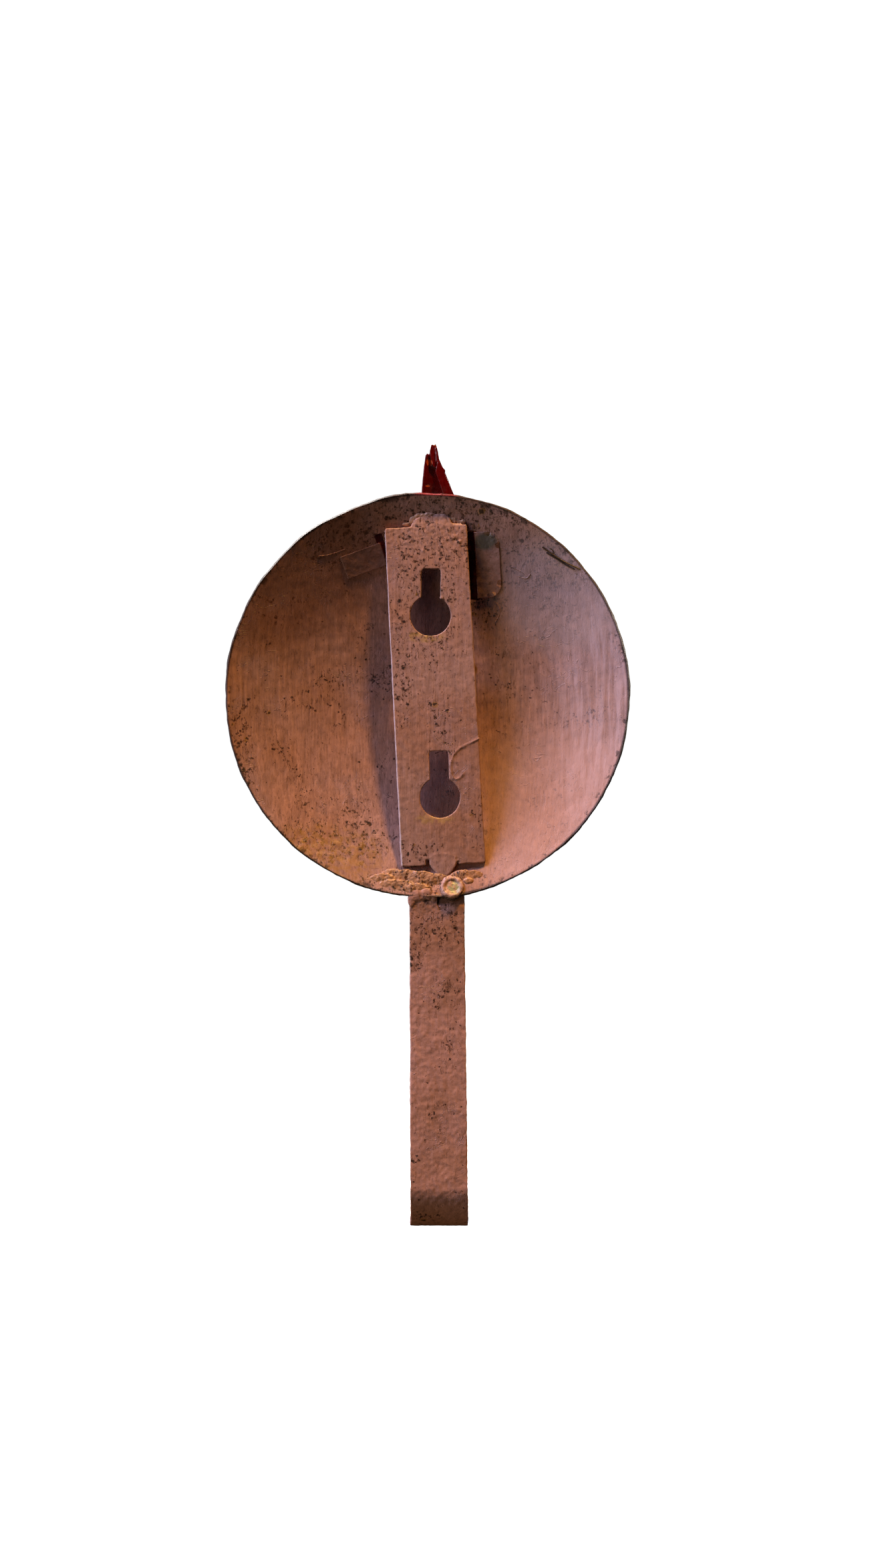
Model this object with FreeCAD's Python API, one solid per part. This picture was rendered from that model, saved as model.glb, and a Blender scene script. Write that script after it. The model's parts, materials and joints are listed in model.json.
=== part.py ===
import FreeCAD, Part
import math
import os

# Railway semaphore signal of the wall-hung pattern, in millimetres, +Z up.
# The front faces -Y, and the wall is on the +Y side.
# The origin is on the hanger plate's wall face, level with the middle of the disc.
# The disc's rim stands RIM_PROUD nearer to the wall than that face.

# Sighting disc: a shallow dish, hollow towards the wall.
DISC_RADIUS = 50.0
DISC_DEPTH = 9.0
DISC_SHEET = 1.0
RIM_PROUD = 0.9

# Hanger plate: two keyholes, a tongue at each end that is bent down onto the dish.
HANGER_SHEET = 1.0
HANGER_TOP_WIDTH = 20.4
HANGER_BOTTOM_WIDTH = 21.1
HANGER_RIM_MARGIN = 7.9
HANGER_LEAN = 3.0
HANGER_OFFSET = -1.8
HANGER_CORNER = 0.6
KEYHOLE_RADIUS = 5.05
KEYHOLE_PITCH = 45.3
UPPER_KEYHOLE_UP = 19.9
KEYHOLE_SLOT_WIDTH = 4.75
KEYHOLE_SLOT_RISE = 11.6
KEYHOLE_SLOT_CORNER = 0.7
UPPER_SLOT_LEAN = -4.0
LOWER_SLOT_LEAN = -1.4
TOP_TONGUE_WIDTH = 9.0
TOP_TONGUE_LENGTH = 3.0
TOP_TONGUE_OFFSET = -2.0
BOTTOM_TONGUE_WIDTH = 6.3
BOTTOM_TONGUE_LENGTH = 3.6
BOTTOM_TONGUE_OFFSET = 0.3
BOTTOM_TONGUE_TIP_SHIFT = 0.3
TONGUE_END_LIFT = 0.5
TONGUE_ROOT = 1.0
HEART_SHOULDER = 1.0
HEART_POINT = 0.8
RELIEF_WIDTH = 0.9
RELIEF_DEPTH = 1.5
TOP_BEAD_RADIUS = 1.2
BOTTOM_BEAD_RADIUS = 0.8
BOTTOM_BEAD_SHIFT = 0.7

# Post strap, riveted to the front of the dish at the bottom of its rim.
POST_TOP_WIDTH = 13.5
POST_BOTTOM_WIDTH = 14.4
POST_SHEET = 2.0
POST_TOP_OFFSET = -2.3
POST_BOTTOM_OFFSET = -3.0
POST_DROP = 132.3
POST_LAP = 8.0
POST_NECK_BELOW_RIM = 2.0
POST_NECK_BEND = 6.0
POST_FOOT_BEND = 10.0
POST_FOOT_LENGTH = 18.0
POST_CORNER = 2.5
POST_SEATING = 0.15

# Semi-tubular rivet that holds the post, its tube end clinched on the wall side.
POST_RIVET_X = -6.2
POST_RIVET_RIM_INSET = 1.9
POST_RIVET_EAR = 3.2
RIVET_SHANK_RADIUS = 1.59
RIVET_HOLE_CLEARANCE = 0.06
CLINCH_RADIUS = 2.8
CLINCH_HEIGHT = 0.95
CLINCH_MOUTH_RADIUS = 1.85
CLINCH_INNER_ROUND = 0.15
CLINCH_OUTER_ROUND = 0.5
RIVET_TUBE_RADIUS = 1.1
RIVET_TUBE_DEPTH = 1.6
RIVET_HEAD_RADIUS = 2.7
RIVET_HEAD_HEIGHT = 1.4
HEAD_ROUND_SHARE = 0.9

# Upright stop: a strip on the front of the dish, clinched through two slots.
STOP_SHEET = 0.5
STOP_STRIP_WIDTH = 5.8
STOP_WIDE_SLOT = (-11.5, 32.4)
STOP_WIDE_SLOT_LENGTH = 17.0
STOP_WIDE_SLOT_WIDTH = 2.8
STOP_WIDE_TAB_LENGTH = 5.6
STOP_WIDE_TAB_CORNER = 3.2
STOP_NARROW_SLOT = (11.0, 36.3)
STOP_NARROW_SLOT_LENGTH = 8.4
STOP_NARROW_SLOT_WIDTH = 2.0
STOP_NARROW_TAB_LENGTH = 10.0
STOP_NARROW_TAB_LEAN = 20.0
STOP_TAB_PLAY = 0.3
STOP_COVER_MARGIN = 0.8
STOP_EAR_LENGTH = 5.0
STOP_EAR_GAP = 0.3

# Pivot stack at the middle of the disc, an M4 screw through a brass bush.
SCREW_RADIUS = 2.0
SCREW_LENGTH = 12.0
SCREW_HEAD_RADIUS = 4.0
SCREW_HEAD_HEIGHT = 2.6
SCREW_HEAD_ROUND = 0.9
SCREW_DRIVER_SLOT = 1.0
SCREW_CLEARANCE = 0.15
BUSH_RADIUS = 3.0
BUSH_BORE_CLEARANCE = 0.1
RUNNING_CLEARANCE = 0.06
SEAT_HEIGHT = 2.0
SEAT_RADIUS = 4.5
SPRING_WASHER_ROOM = 0.7
SPRING_WASHER_SHEET = 0.35
FACE_CLEARANCE = 0.05
FRONT_WASHER_RADIUS = 5.0
FRONT_WASHER_SHEET = 1.0
BACK_WASHER_SHEET = 0.8
LOCK_WASHER_SHEET = 0.9
LOCK_WASHER_RADIUS = 3.6
LOCK_WASHER_SPLIT = 0.8
NUT_ACROSS_FLATS = 7.0
NUT_HEIGHT = 3.2

# Arm: an arrow-pointed blade with a folded flange, stiffened by a hub plate.
ARM_REACH = 63.0
ARM_TIP_OFFSET = -1.6
ARM_TIP_WIDTH = 0.9
ARM_NECK_UP = 49.5
ARM_NECK_INNER = -6.8
ARM_NECK_OUTER = 1.5
ARM_SHOULDER_UP = 24.0
ARM_SHOULDER_INNER = -12.8
ARM_SHOULDER_OUTER = 10.2
ARM_SHANK_UP = 17.5
ARM_SHANK_HALF_WIDTH = 6.0
ARM_TAIL = 14.0
ARM_TAIL_CORNER = 3.0
ARM_SHOULDER_ROUND = 0.8
ARM_SHEET = 0.8
ARM_FLANGE_DEPTH = 1.6
ARM_FLANGE_SHEET = 0.7
ARM_TRAVEL = 90.0
HUB_SHEET = 1.0
HUB_HALF_WIDTH = 5.0
HUB_UP = 26.0
HUB_DOWN = 12.6
ARM_RIVET_HEIGHTS = (-9.0, 13.0, 22.0)
ARM_RIVET_RADIUS = 1.0
ARM_RIVET_HEAD_RADIUS = 1.9
ARM_RIVET_HEAD_HEIGHT = 0.6

# Stop pin that the tail of the arm meets when the arm is level.
PIN_RADIUS = 1.25
PIN_ALONG_TAIL = 10.0
PIN_GAP = 0.3
PIN_SHANK_RADIUS = 0.9
PIN_CLINCH_RADIUS = 1.7
PIN_CLINCH_HEIGHT = 0.7

# The two spherical faces of the dish share this centre.
SPHERE_RADIUS = (DISC_RADIUS ** 2 + DISC_DEPTH ** 2) / (2.0 * DISC_DEPTH)
SPHERE_Y = SPHERE_RADIUS - DISC_DEPTH + RIM_PROUD
HANGER_HALF_LENGTH = DISC_RADIUS - HANGER_RIM_MARGIN
POST_RIVET_Z = -math.sqrt((DISC_RADIUS - POST_RIVET_RIM_INSET) ** 2 - POST_RIVET_X ** 2)

# Planes of the pivot stack, from the dish out to the screw head.
APEX_WALL_SIDE = SPHERE_Y - SPHERE_RADIUS
APEX_FRONT = APEX_WALL_SIDE - DISC_SHEET
SEAT_FRONT = APEX_FRONT - SEAT_HEIGHT
HUB_BACK = SEAT_FRONT - SPRING_WASHER_ROOM - FACE_CLEARANCE
BLADE_BACK = HUB_BACK - HUB_SHEET
BLADE_FRONT = BLADE_BACK - ARM_SHEET
FLANGE_BACK = BLADE_BACK + ARM_FLANGE_DEPTH
WASHER_BACK = BLADE_FRONT - FACE_CLEARANCE
SCREW_SEAT = WASHER_BACK - FRONT_WASHER_SHEET
ARM_BORE_RADIUS = BUSH_RADIUS + RUNNING_CLEARANCE
SCREW_HOLE_RADIUS = SCREW_RADIUS + SCREW_CLEARANCE

# Cutting bodies reach this far: REACH is past every piece along Y, OVERSHOOT and EPS are past one face.
REACH = 40.0
OVERSHOOT = 1.0
EPS = 0.2


def dish_y(offset, x, z):
    """Y of the dish's face that lies `offset` in front of its wall-side face."""
    return SPHERE_Y - math.sqrt((SPHERE_RADIUS + offset) ** 2 - x * x - z * z)


def rounded_wire(corners, place):
    """Closed wire through (a, b, radius) corners; `place` maps (a, b) into space."""
    count = len(corners)
    arcs = []
    for i in range(count):
        a, b, radius = corners[i]
        before = corners[i - 1]
        after = corners[(i + 1) % count]
        to_before = FreeCAD.Vector(before[0] - a, before[1] - b, 0).normalize()
        to_after = FreeCAD.Vector(after[0] - a, after[1] - b, 0).normalize()
        corner = FreeCAD.Vector(a, b, 0)
        if radius == 0:
            arcs.append((corner, None, corner))
            continue
        half = to_before.getAngle(to_after) / 2.0
        run = radius / math.tan(half)
        inward = (to_before + to_after).normalize()
        middle = corner + inward * (radius / math.sin(half) - radius)
        arcs.append((corner + to_before * run, middle, corner + to_after * run))
    edges = []
    for i in range(count):
        start, middle, end = arcs[i]
        if middle is not None:
            edges.append(Part.Arc(*[place(p.x, p.y) for p in (start, middle, end)]).toShape())
        following = arcs[(i + 1) % count][0]
        if (following - end).Length > 1e-6:
            straight = Part.LineSegment(place(end.x, end.y), place(following.x, following.y))
            edges.append(straight.toShape())
    return Part.Wire(edges)


def in_front_view(a, b):
    return FreeCAD.Vector(a, 0, b)


def in_side_view(a, b):
    return FreeCAD.Vector(0, a, b)


def plate(corners, y_low, y_high):
    """Flat plate with a front-view outline, between two Y planes."""
    face = Part.Face(rounded_wire(corners, in_front_view))
    face.translate(FreeCAD.Vector(0, y_low, 0))
    return face.extrude(FreeCAD.Vector(0, y_high - y_low, 0))


def bar(corners, x_low, x_high):
    """Bar with a side-view outline, between two X planes."""
    face = Part.Face(rounded_wire(corners, in_side_view))
    face.translate(FreeCAD.Vector(x_low, 0, 0))
    return face.extrude(FreeCAD.Vector(x_high - x_low, 0, 0))


def rectangle(low_a, low_b, high_a, high_b, radius=0):
    low_side = [(low_a, low_b, radius), (high_a, low_b, radius)]
    return low_side + [(high_a, high_b, radius), (low_a, high_b, radius)]


def lean(shape, degrees, x=0.0, z=0.0):
    """Turn a shape in the front view, top towards +X, about the point (x, z)."""
    shape.rotate(FreeCAD.Vector(x, 0, z), FreeCAD.Vector(0, 1, 0), degrees)
    return shape


def rod(radius, y_low, y_high, x=0.0, z=0.0):
    """Round bar along Y."""
    start = FreeCAD.Vector(x, y_low, z)
    return Part.makeCylinder(radius, y_high - y_low, start, FreeCAD.Vector(0, 1, 0))


def tube(outer, inner, y_low, y_high, x=0.0, z=0.0):
    """Round tube along Y."""
    return rod(outer, y_low, y_high, x, z).cut(rod(inner, y_low - EPS, y_high + EPS, x, z))


def ball(offset):
    """Ball bounded by the dish's face that lies `offset` in front of its wall-side face."""
    return Part.makeSphere(SPHERE_RADIUS + offset, FreeCAD.Vector(0, SPHERE_Y, 0))


def dish_skin(low, high, outline):
    """Part of a shell that follows the dish, between two offsets, inside an outline body."""
    return ball(high).cut(ball(low)).common(outline)


def turned(profile):
    """Solid turned about the local Z axis from (radius, height, corner radius) corners."""
    face = Part.Face(rounded_wire(profile, in_front_view))
    return face.revolve(FreeCAD.Vector(0, 0, 0), FreeCAD.Vector(0, 0, 1), 360)


def aim(shape, origin, direction):
    """Move a shape so that its local origin and Z axis lie at `origin` and along `direction`."""
    turn = FreeCAD.Rotation(FreeCAD.Vector(0, 0, 1), direction)
    shape.Placement = FreeCAD.Placement(origin, turn)
    return shape


def hanger_place(shape):
    """Carry a shape from the hanger plate's own frame to its place on the disc."""
    shape.translate(FreeCAD.Vector(HANGER_OFFSET, 0, 0))
    return lean(shape, HANGER_LEAN, HANGER_OFFSET, 0.0)


def hanger_point(across, up):
    """Front-view place of a point given in the hanger plate's own frame."""
    angle = math.radians(HANGER_LEAN)
    x = HANGER_OFFSET + across * math.cos(angle) + up * math.sin(angle)
    z = up * math.cos(angle) - across * math.sin(angle)
    return x, z


def post_axis():
    """Point and direction of the post rivet: square to the lapped end of the post."""
    y = dish_y(DISC_SHEET, POST_RIVET_X, POST_RIVET_Z)
    normal = FreeCAD.Vector(0, y - SPHERE_Y, POST_RIVET_Z).normalize()
    face_point = FreeCAD.Vector(POST_RIVET_X, y, POST_RIVET_Z)
    return face_point - normal * DISC_SHEET, normal


def pin_place():
    """Front-view place of the stop pin, beside the tail of the arm when it is level."""
    return -PIN_ALONG_TAIL, ARM_SHANK_HALF_WIDTH + PIN_GAP + PIN_RADIUS


def wide_slot(play):
    """Outline body of the upright stop's long slot, shrunk by `play` at each end."""
    x, z = STOP_WIDE_SLOT
    half_width = STOP_WIDE_SLOT_WIDTH / 2.0
    half_length = STOP_WIDE_SLOT_LENGTH / 2.0 - play
    outline = rectangle(x - half_width, z - half_length, x + half_width, z + half_length)
    return lean(plate(outline, -REACH, REACH), HANGER_LEAN, x, z)


def narrow_slot():
    """Outline body of the upright stop's short slot."""
    x, z = STOP_NARROW_SLOT
    half_width = STOP_NARROW_SLOT_WIDTH / 2.0
    half_length = STOP_NARROW_SLOT_LENGTH / 2.0
    outline = rectangle(x - half_width, z - half_length, x + half_width, z + half_length)
    return lean(plate(outline, -REACH, REACH), STOP_NARROW_TAB_LEAN, x, z)


def sighting_disc():
    outline = rod(DISC_RADIUS, -REACH, REACH)
    ear = rod(POST_RIVET_EAR, -REACH, REACH, POST_RIVET_X, POST_RIVET_Z)
    disc = dish_skin(0, DISC_SHEET, outline.fuse(ear))
    pin_x, pin_z = pin_place()
    for hole in (
        rod(SCREW_HOLE_RADIUS, -REACH, REACH),
        rod(PIN_SHANK_RADIUS + RIVET_HOLE_CLEARANCE, -REACH, REACH, pin_x, pin_z),
        post_rivet_hole(),
        wide_slot(0),
        narrow_slot(),
    ):
        disc = disc.cut(hole)
    return disc


def post_rivet_hole():
    point, normal = post_axis()
    hole = Part.makeCylinder(RIVET_SHANK_RADIUS + RIVET_HOLE_CLEARANCE, REACH)
    return aim(hole, point - normal * (REACH / 2.0), normal)


def keyhole(up, slot_lean):
    """Keyhole cutter in the hanger plate's own frame: round below, slot above."""
    y_low, y_high = -HANGER_SHEET - EPS, EPS
    half = KEYHOLE_SLOT_WIDTH / 2.0
    top = up + KEYHOLE_SLOT_RISE
    outline = [
        (-half, up, 0),
        (half, up, 0),
        (half, top, KEYHOLE_SLOT_CORNER),
        (-half, top, KEYHOLE_SLOT_CORNER),
    ]
    slot = lean(plate(outline, y_low, y_high), slot_lean, 0.0, up)
    return rod(KEYHOLE_RADIUS, y_low, y_high, 0.0, up).fuse(slot)


def tongue(side, across, length, outline):
    """Tongue bent from the plate's end down onto the dish; side is +1 at the top."""
    start = side * HANGER_HALF_LENGTH
    root = start - side * TONGUE_ROOT
    end = side * (HANGER_HALF_LENGTH + length)
    x, z = hanger_point(across, end)
    tip = dish_y(0, x, z) + TONGUE_END_LIFT
    profile = [
        (0, root, 0),
        (0, start, 0),
        (tip, end, 0),
        (tip - HANGER_SHEET, end, 0),
        (-HANGER_SHEET, start, 0),
        (-HANGER_SHEET, root, 0),
    ]
    slab = bar(profile, across - TOP_TONGUE_WIDTH, across + TOP_TONGUE_WIDTH)
    return slab.common(plate(outline, -REACH, EPS))


def hanger_plate():
    top = HANGER_HALF_LENGTH
    outline = [
        (-HANGER_BOTTOM_WIDTH / 2.0, -top, HANGER_CORNER),
        (HANGER_BOTTOM_WIDTH / 2.0, -top, HANGER_CORNER),
        (HANGER_TOP_WIDTH / 2.0, top, HANGER_CORNER),
        (-HANGER_TOP_WIDTH / 2.0, top, HANGER_CORNER),
    ]
    body = plate(outline, -HANGER_SHEET, 0)
    left = TOP_TONGUE_OFFSET - TOP_TONGUE_WIDTH / 2.0
    right = TOP_TONGUE_OFFSET + TOP_TONGUE_WIDTH / 2.0
    tip = top + TOP_TONGUE_LENGTH
    top_outline = [
        (left, top - TONGUE_ROOT, 0),
        (right, top - TONGUE_ROOT, 0),
        (right, tip, TOP_TONGUE_LENGTH * HEAD_ROUND_SHARE),
        (left, tip, TOP_TONGUE_LENGTH * HEAD_ROUND_SHARE),
    ]
    body = body.fuse(tongue(1, TOP_TONGUE_OFFSET, TOP_TONGUE_LENGTH, top_outline))
    half = BOTTOM_TONGUE_WIDTH / 2.0
    centre = BOTTOM_TONGUE_OFFSET
    heart = [
        (centre - half, TONGUE_ROOT - top, 0),
        (centre - half, -top, HEART_SHOULDER),
        (centre + BOTTOM_TONGUE_TIP_SHIFT, -top - BOTTOM_TONGUE_LENGTH, HEART_POINT),
        (centre + half, -top, HEART_SHOULDER),
        (centre + half, TONGUE_ROOT - top, 0),
    ]
    body = body.fuse(tongue(-1, centre, BOTTOM_TONGUE_LENGTH, heart))
    for side in (-1, 1):
        x = centre + side * (half + RELIEF_WIDTH / 2.0)
        low = -top - OVERSHOOT
        relief = rectangle(x - RELIEF_WIDTH / 2.0, low, x + RELIEF_WIDTH / 2.0, -top + RELIEF_DEPTH)
        body = body.cut(plate(relief, -REACH, EPS))
    body = body.cut(keyhole(UPPER_KEYHOLE_UP, UPPER_SLOT_LEAN))
    body = body.cut(keyhole(UPPER_KEYHOLE_UP - KEYHOLE_PITCH, LOWER_SLOT_LEAN))
    return hanger_place(body).cut(ball(DISC_SHEET).cut(ball(0))).removeSplitter()


def solder_bead(across, up, half_run, radius, neighbours):
    """Bead of solder where a tongue of the hanger plate meets the dish."""
    ends = [hanger_point(across + side * half_run, up) for side in (-1, 1)]
    points = [FreeCAD.Vector(x, dish_y(0, x, z), z) for x, z in ends]
    bead = Part.makeSphere(radius, points[0])
    if half_run > 0:
        run = points[1] - points[0]
        bead = bead.fuse(Part.makeSphere(radius, points[1]))
        bead = bead.fuse(Part.makeCylinder(radius, run.Length, points[0], run))
    bead = bead.common(ball(0))
    for neighbour in neighbours:
        bead = bead.cut(neighbour)
    return largest(bead)


def largest(shape):
    """The biggest solid of a shape, without the crumbs that a cut can leave."""
    return max(shape.Solids, key=lambda solid: solid.Volume)


def post_outline():
    """Front-view outline body of the post strap."""
    top = POST_RIVET_Z + POST_LAP
    half_top = POST_TOP_WIDTH / 2.0
    half_bottom = POST_BOTTOM_WIDTH / 2.0
    outline = [
        (POST_BOTTOM_OFFSET - half_bottom, -POST_DROP - OVERSHOOT, 0),
        (POST_BOTTOM_OFFSET + half_bottom, -POST_DROP - OVERSHOOT, 0),
        (POST_TOP_OFFSET + half_top, top, POST_CORNER),
        (POST_TOP_OFFSET - half_top, top, POST_CORNER),
    ]
    return plate(outline, -REACH, REACH)


def post_profile():
    """Side-view corners of the strap: the face towards the wall, then the face in front."""
    rivet_y = dish_y(DISC_SHEET, POST_RIVET_X, POST_RIVET_Z) + POST_SEATING
    slope = POST_RIVET_Z / (SPHERE_Y - rivet_y)
    neck_z = -DISC_RADIUS - POST_NECK_BELOW_RIM
    top_z = POST_RIVET_Z + POST_LAP
    neck_y = rivet_y + slope * (neck_z - POST_RIVET_Z)
    route = [
        (rivet_y + slope * (top_z - POST_RIVET_Z), top_z, 0),
        (neck_y, neck_z, POST_NECK_BEND),
        (neck_y, -POST_DROP, POST_FOOT_BEND),
        (neck_y - POST_FOOT_LENGTH, -POST_DROP, 0),
    ]
    return route + inner_side(route, POST_SHEET)


def inner_side(route, thickness):
    """Corners of a line `thickness` inside a bent route, listed backwards."""
    inner = []
    for i in range(len(route)):
        here = FreeCAD.Vector(route[i][0], route[i][1], 0)
        steps = []
        if i > 0:
            steps.append((here - FreeCAD.Vector(route[i - 1][0], route[i - 1][1], 0)).normalize())
        if i < len(route) - 1:
            steps.append((FreeCAD.Vector(route[i + 1][0], route[i + 1][1], 0) - here).normalize())
        normals = [FreeCAD.Vector(step.y, -step.x, 0) for step in steps]
        across = normals[0] + normals[-1]
        across = across * (2.0 * thickness / (across.Length ** 2))
        point = here + across
        inner.append((point.x, point.y, max(route[i][2] - thickness, 0)))
    return inner[::-1]


def post_strap():
    strap = bar(post_profile(), -REACH, REACH).common(post_outline())
    strap = strap.cut(ball(DISC_SHEET)).cut(post_rivet_hole())
    return largest(strap)


def post_rivet(disc):
    point, normal = post_axis()
    grip = DISC_SHEET + POST_SHEET - POST_SEATING * abs(normal.y)
    profile = [
        (0, RIVET_TUBE_DEPTH - CLINCH_HEIGHT, 0),
        (RIVET_TUBE_RADIUS, RIVET_TUBE_DEPTH - CLINCH_HEIGHT, 0),
        (RIVET_TUBE_RADIUS, 0, 0),
        (CLINCH_MOUTH_RADIUS, -CLINCH_HEIGHT, CLINCH_INNER_ROUND),
        (CLINCH_RADIUS, -CLINCH_HEIGHT, CLINCH_OUTER_ROUND),
        (CLINCH_RADIUS, EPS, 0),
        (RIVET_SHANK_RADIUS, EPS, 0),
        (RIVET_SHANK_RADIUS, grip, 0),
        (RIVET_HEAD_RADIUS, grip, 0),
        (RIVET_HEAD_RADIUS, grip + RIVET_HEAD_HEIGHT, RIVET_HEAD_HEIGHT * HEAD_ROUND_SHARE),
        (0, grip + RIVET_HEAD_HEIGHT, 0),
    ]
    rivet = aim(turned(profile), point, normal)
    return largest(rivet.cut(disc))


def post_solder(disc, strap, rivet):
    """Fillet of solder under the rim, on the side of the lap away from the rivet."""
    x_low = POST_RIVET_X + POST_RIVET_EAR
    x_high = POST_TOP_OFFSET + POST_TOP_WIDTH / 2.0
    z = -math.sqrt(DISC_RADIUS ** 2 - x_low ** 2)
    y = dish_y(DISC_SHEET / 2.0, x_low, z)
    start = FreeCAD.Vector(x_low, y, z)
    fillet = Part.makeCylinder(DISC_SHEET, x_high - x_low, start, FreeCAD.Vector(1, 0, 0))
    return largest(fillet.cut(disc).cut(strap).cut(rivet))


def arm_corners():
    """Front-view corners of the arm at rest, upright, round the pivot at (0, 0)."""
    half_tip = ARM_TIP_WIDTH / 2.0
    return [
        (-ARM_SHANK_HALF_WIDTH, -ARM_TAIL, ARM_TAIL_CORNER),
        (ARM_SHANK_HALF_WIDTH, -ARM_TAIL, ARM_TAIL_CORNER),
        (ARM_SHANK_HALF_WIDTH, ARM_SHANK_UP, 0),
        (ARM_SHOULDER_OUTER, ARM_SHOULDER_UP, ARM_SHOULDER_ROUND),
        (ARM_NECK_OUTER, ARM_NECK_UP, 0),
        (ARM_TIP_OFFSET + half_tip, ARM_REACH, 0),
        (ARM_TIP_OFFSET - half_tip, ARM_REACH, 0),
        (ARM_NECK_INNER, ARM_NECK_UP, 0),
        (ARM_SHOULDER_INNER, ARM_SHOULDER_UP, ARM_SHOULDER_ROUND),
        (-ARM_SHANK_HALF_WIDTH, ARM_SHANK_UP, 0),
    ]


def arm_inner_edge(z):
    """X of the blade's edge on the stop's side, between the shoulder and the neck."""
    share = (z - ARM_SHOULDER_UP) / (ARM_NECK_UP - ARM_SHOULDER_UP)
    return ARM_SHOULDER_INNER + share * (ARM_NECK_INNER - ARM_SHOULDER_INNER)


def arm_blade():
    face = Part.Face(rounded_wire(arm_corners(), in_front_view))
    face.translate(FreeCAD.Vector(0, BLADE_FRONT, 0))
    tray = face.extrude(FreeCAD.Vector(0, FLANGE_BACK - BLADE_FRONT, 0))
    inside = Part.Face(rounded_wire(arm_corners(), in_front_view)).makeOffset2D(-ARM_FLANGE_SHEET, 2)
    inside.translate(FreeCAD.Vector(0, BLADE_BACK, 0))
    tray = tray.cut(inside.extrude(FreeCAD.Vector(0, REACH, 0)))
    for hole in arm_holes():
        tray = tray.cut(hole)
    return tray


def arm_holes():
    holes = [rod(ARM_BORE_RADIUS, BLADE_FRONT - EPS, REACH)]
    for z in ARM_RIVET_HEIGHTS:
        holes.append(rod(ARM_RIVET_RADIUS, BLADE_FRONT - EPS, REACH, 0, z))
    return holes


def arm_hub_plate():
    corner = ARM_TAIL_CORNER - ARM_FLANGE_SHEET
    outline = rectangle(-HUB_HALF_WIDTH, -HUB_DOWN, HUB_HALF_WIDTH, HUB_UP, corner)
    hub = plate(outline, BLADE_BACK, HUB_BACK)
    for hole in arm_holes():
        hub = hub.cut(hole)
    return hub


def arm_rivets():
    head_front = BLADE_FRONT - ARM_RIVET_HEAD_HEIGHT
    rivets = []
    for z in ARM_RIVET_HEIGHTS:
        rivet = rod(ARM_RIVET_RADIUS, BLADE_FRONT, HUB_BACK, 0, z)
        rivet = rivet.fuse(rod(ARM_RIVET_HEAD_RADIUS, head_front, BLADE_FRONT, 0, z))
        rivet = rivet.fuse(rod(ARM_RIVET_HEAD_RADIUS, HUB_BACK, HUB_BACK + ARM_RIVET_HEAD_HEIGHT, 0, z))
        rivets.append(rivet.removeSplitter())
    return Part.Compound(rivets)


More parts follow.
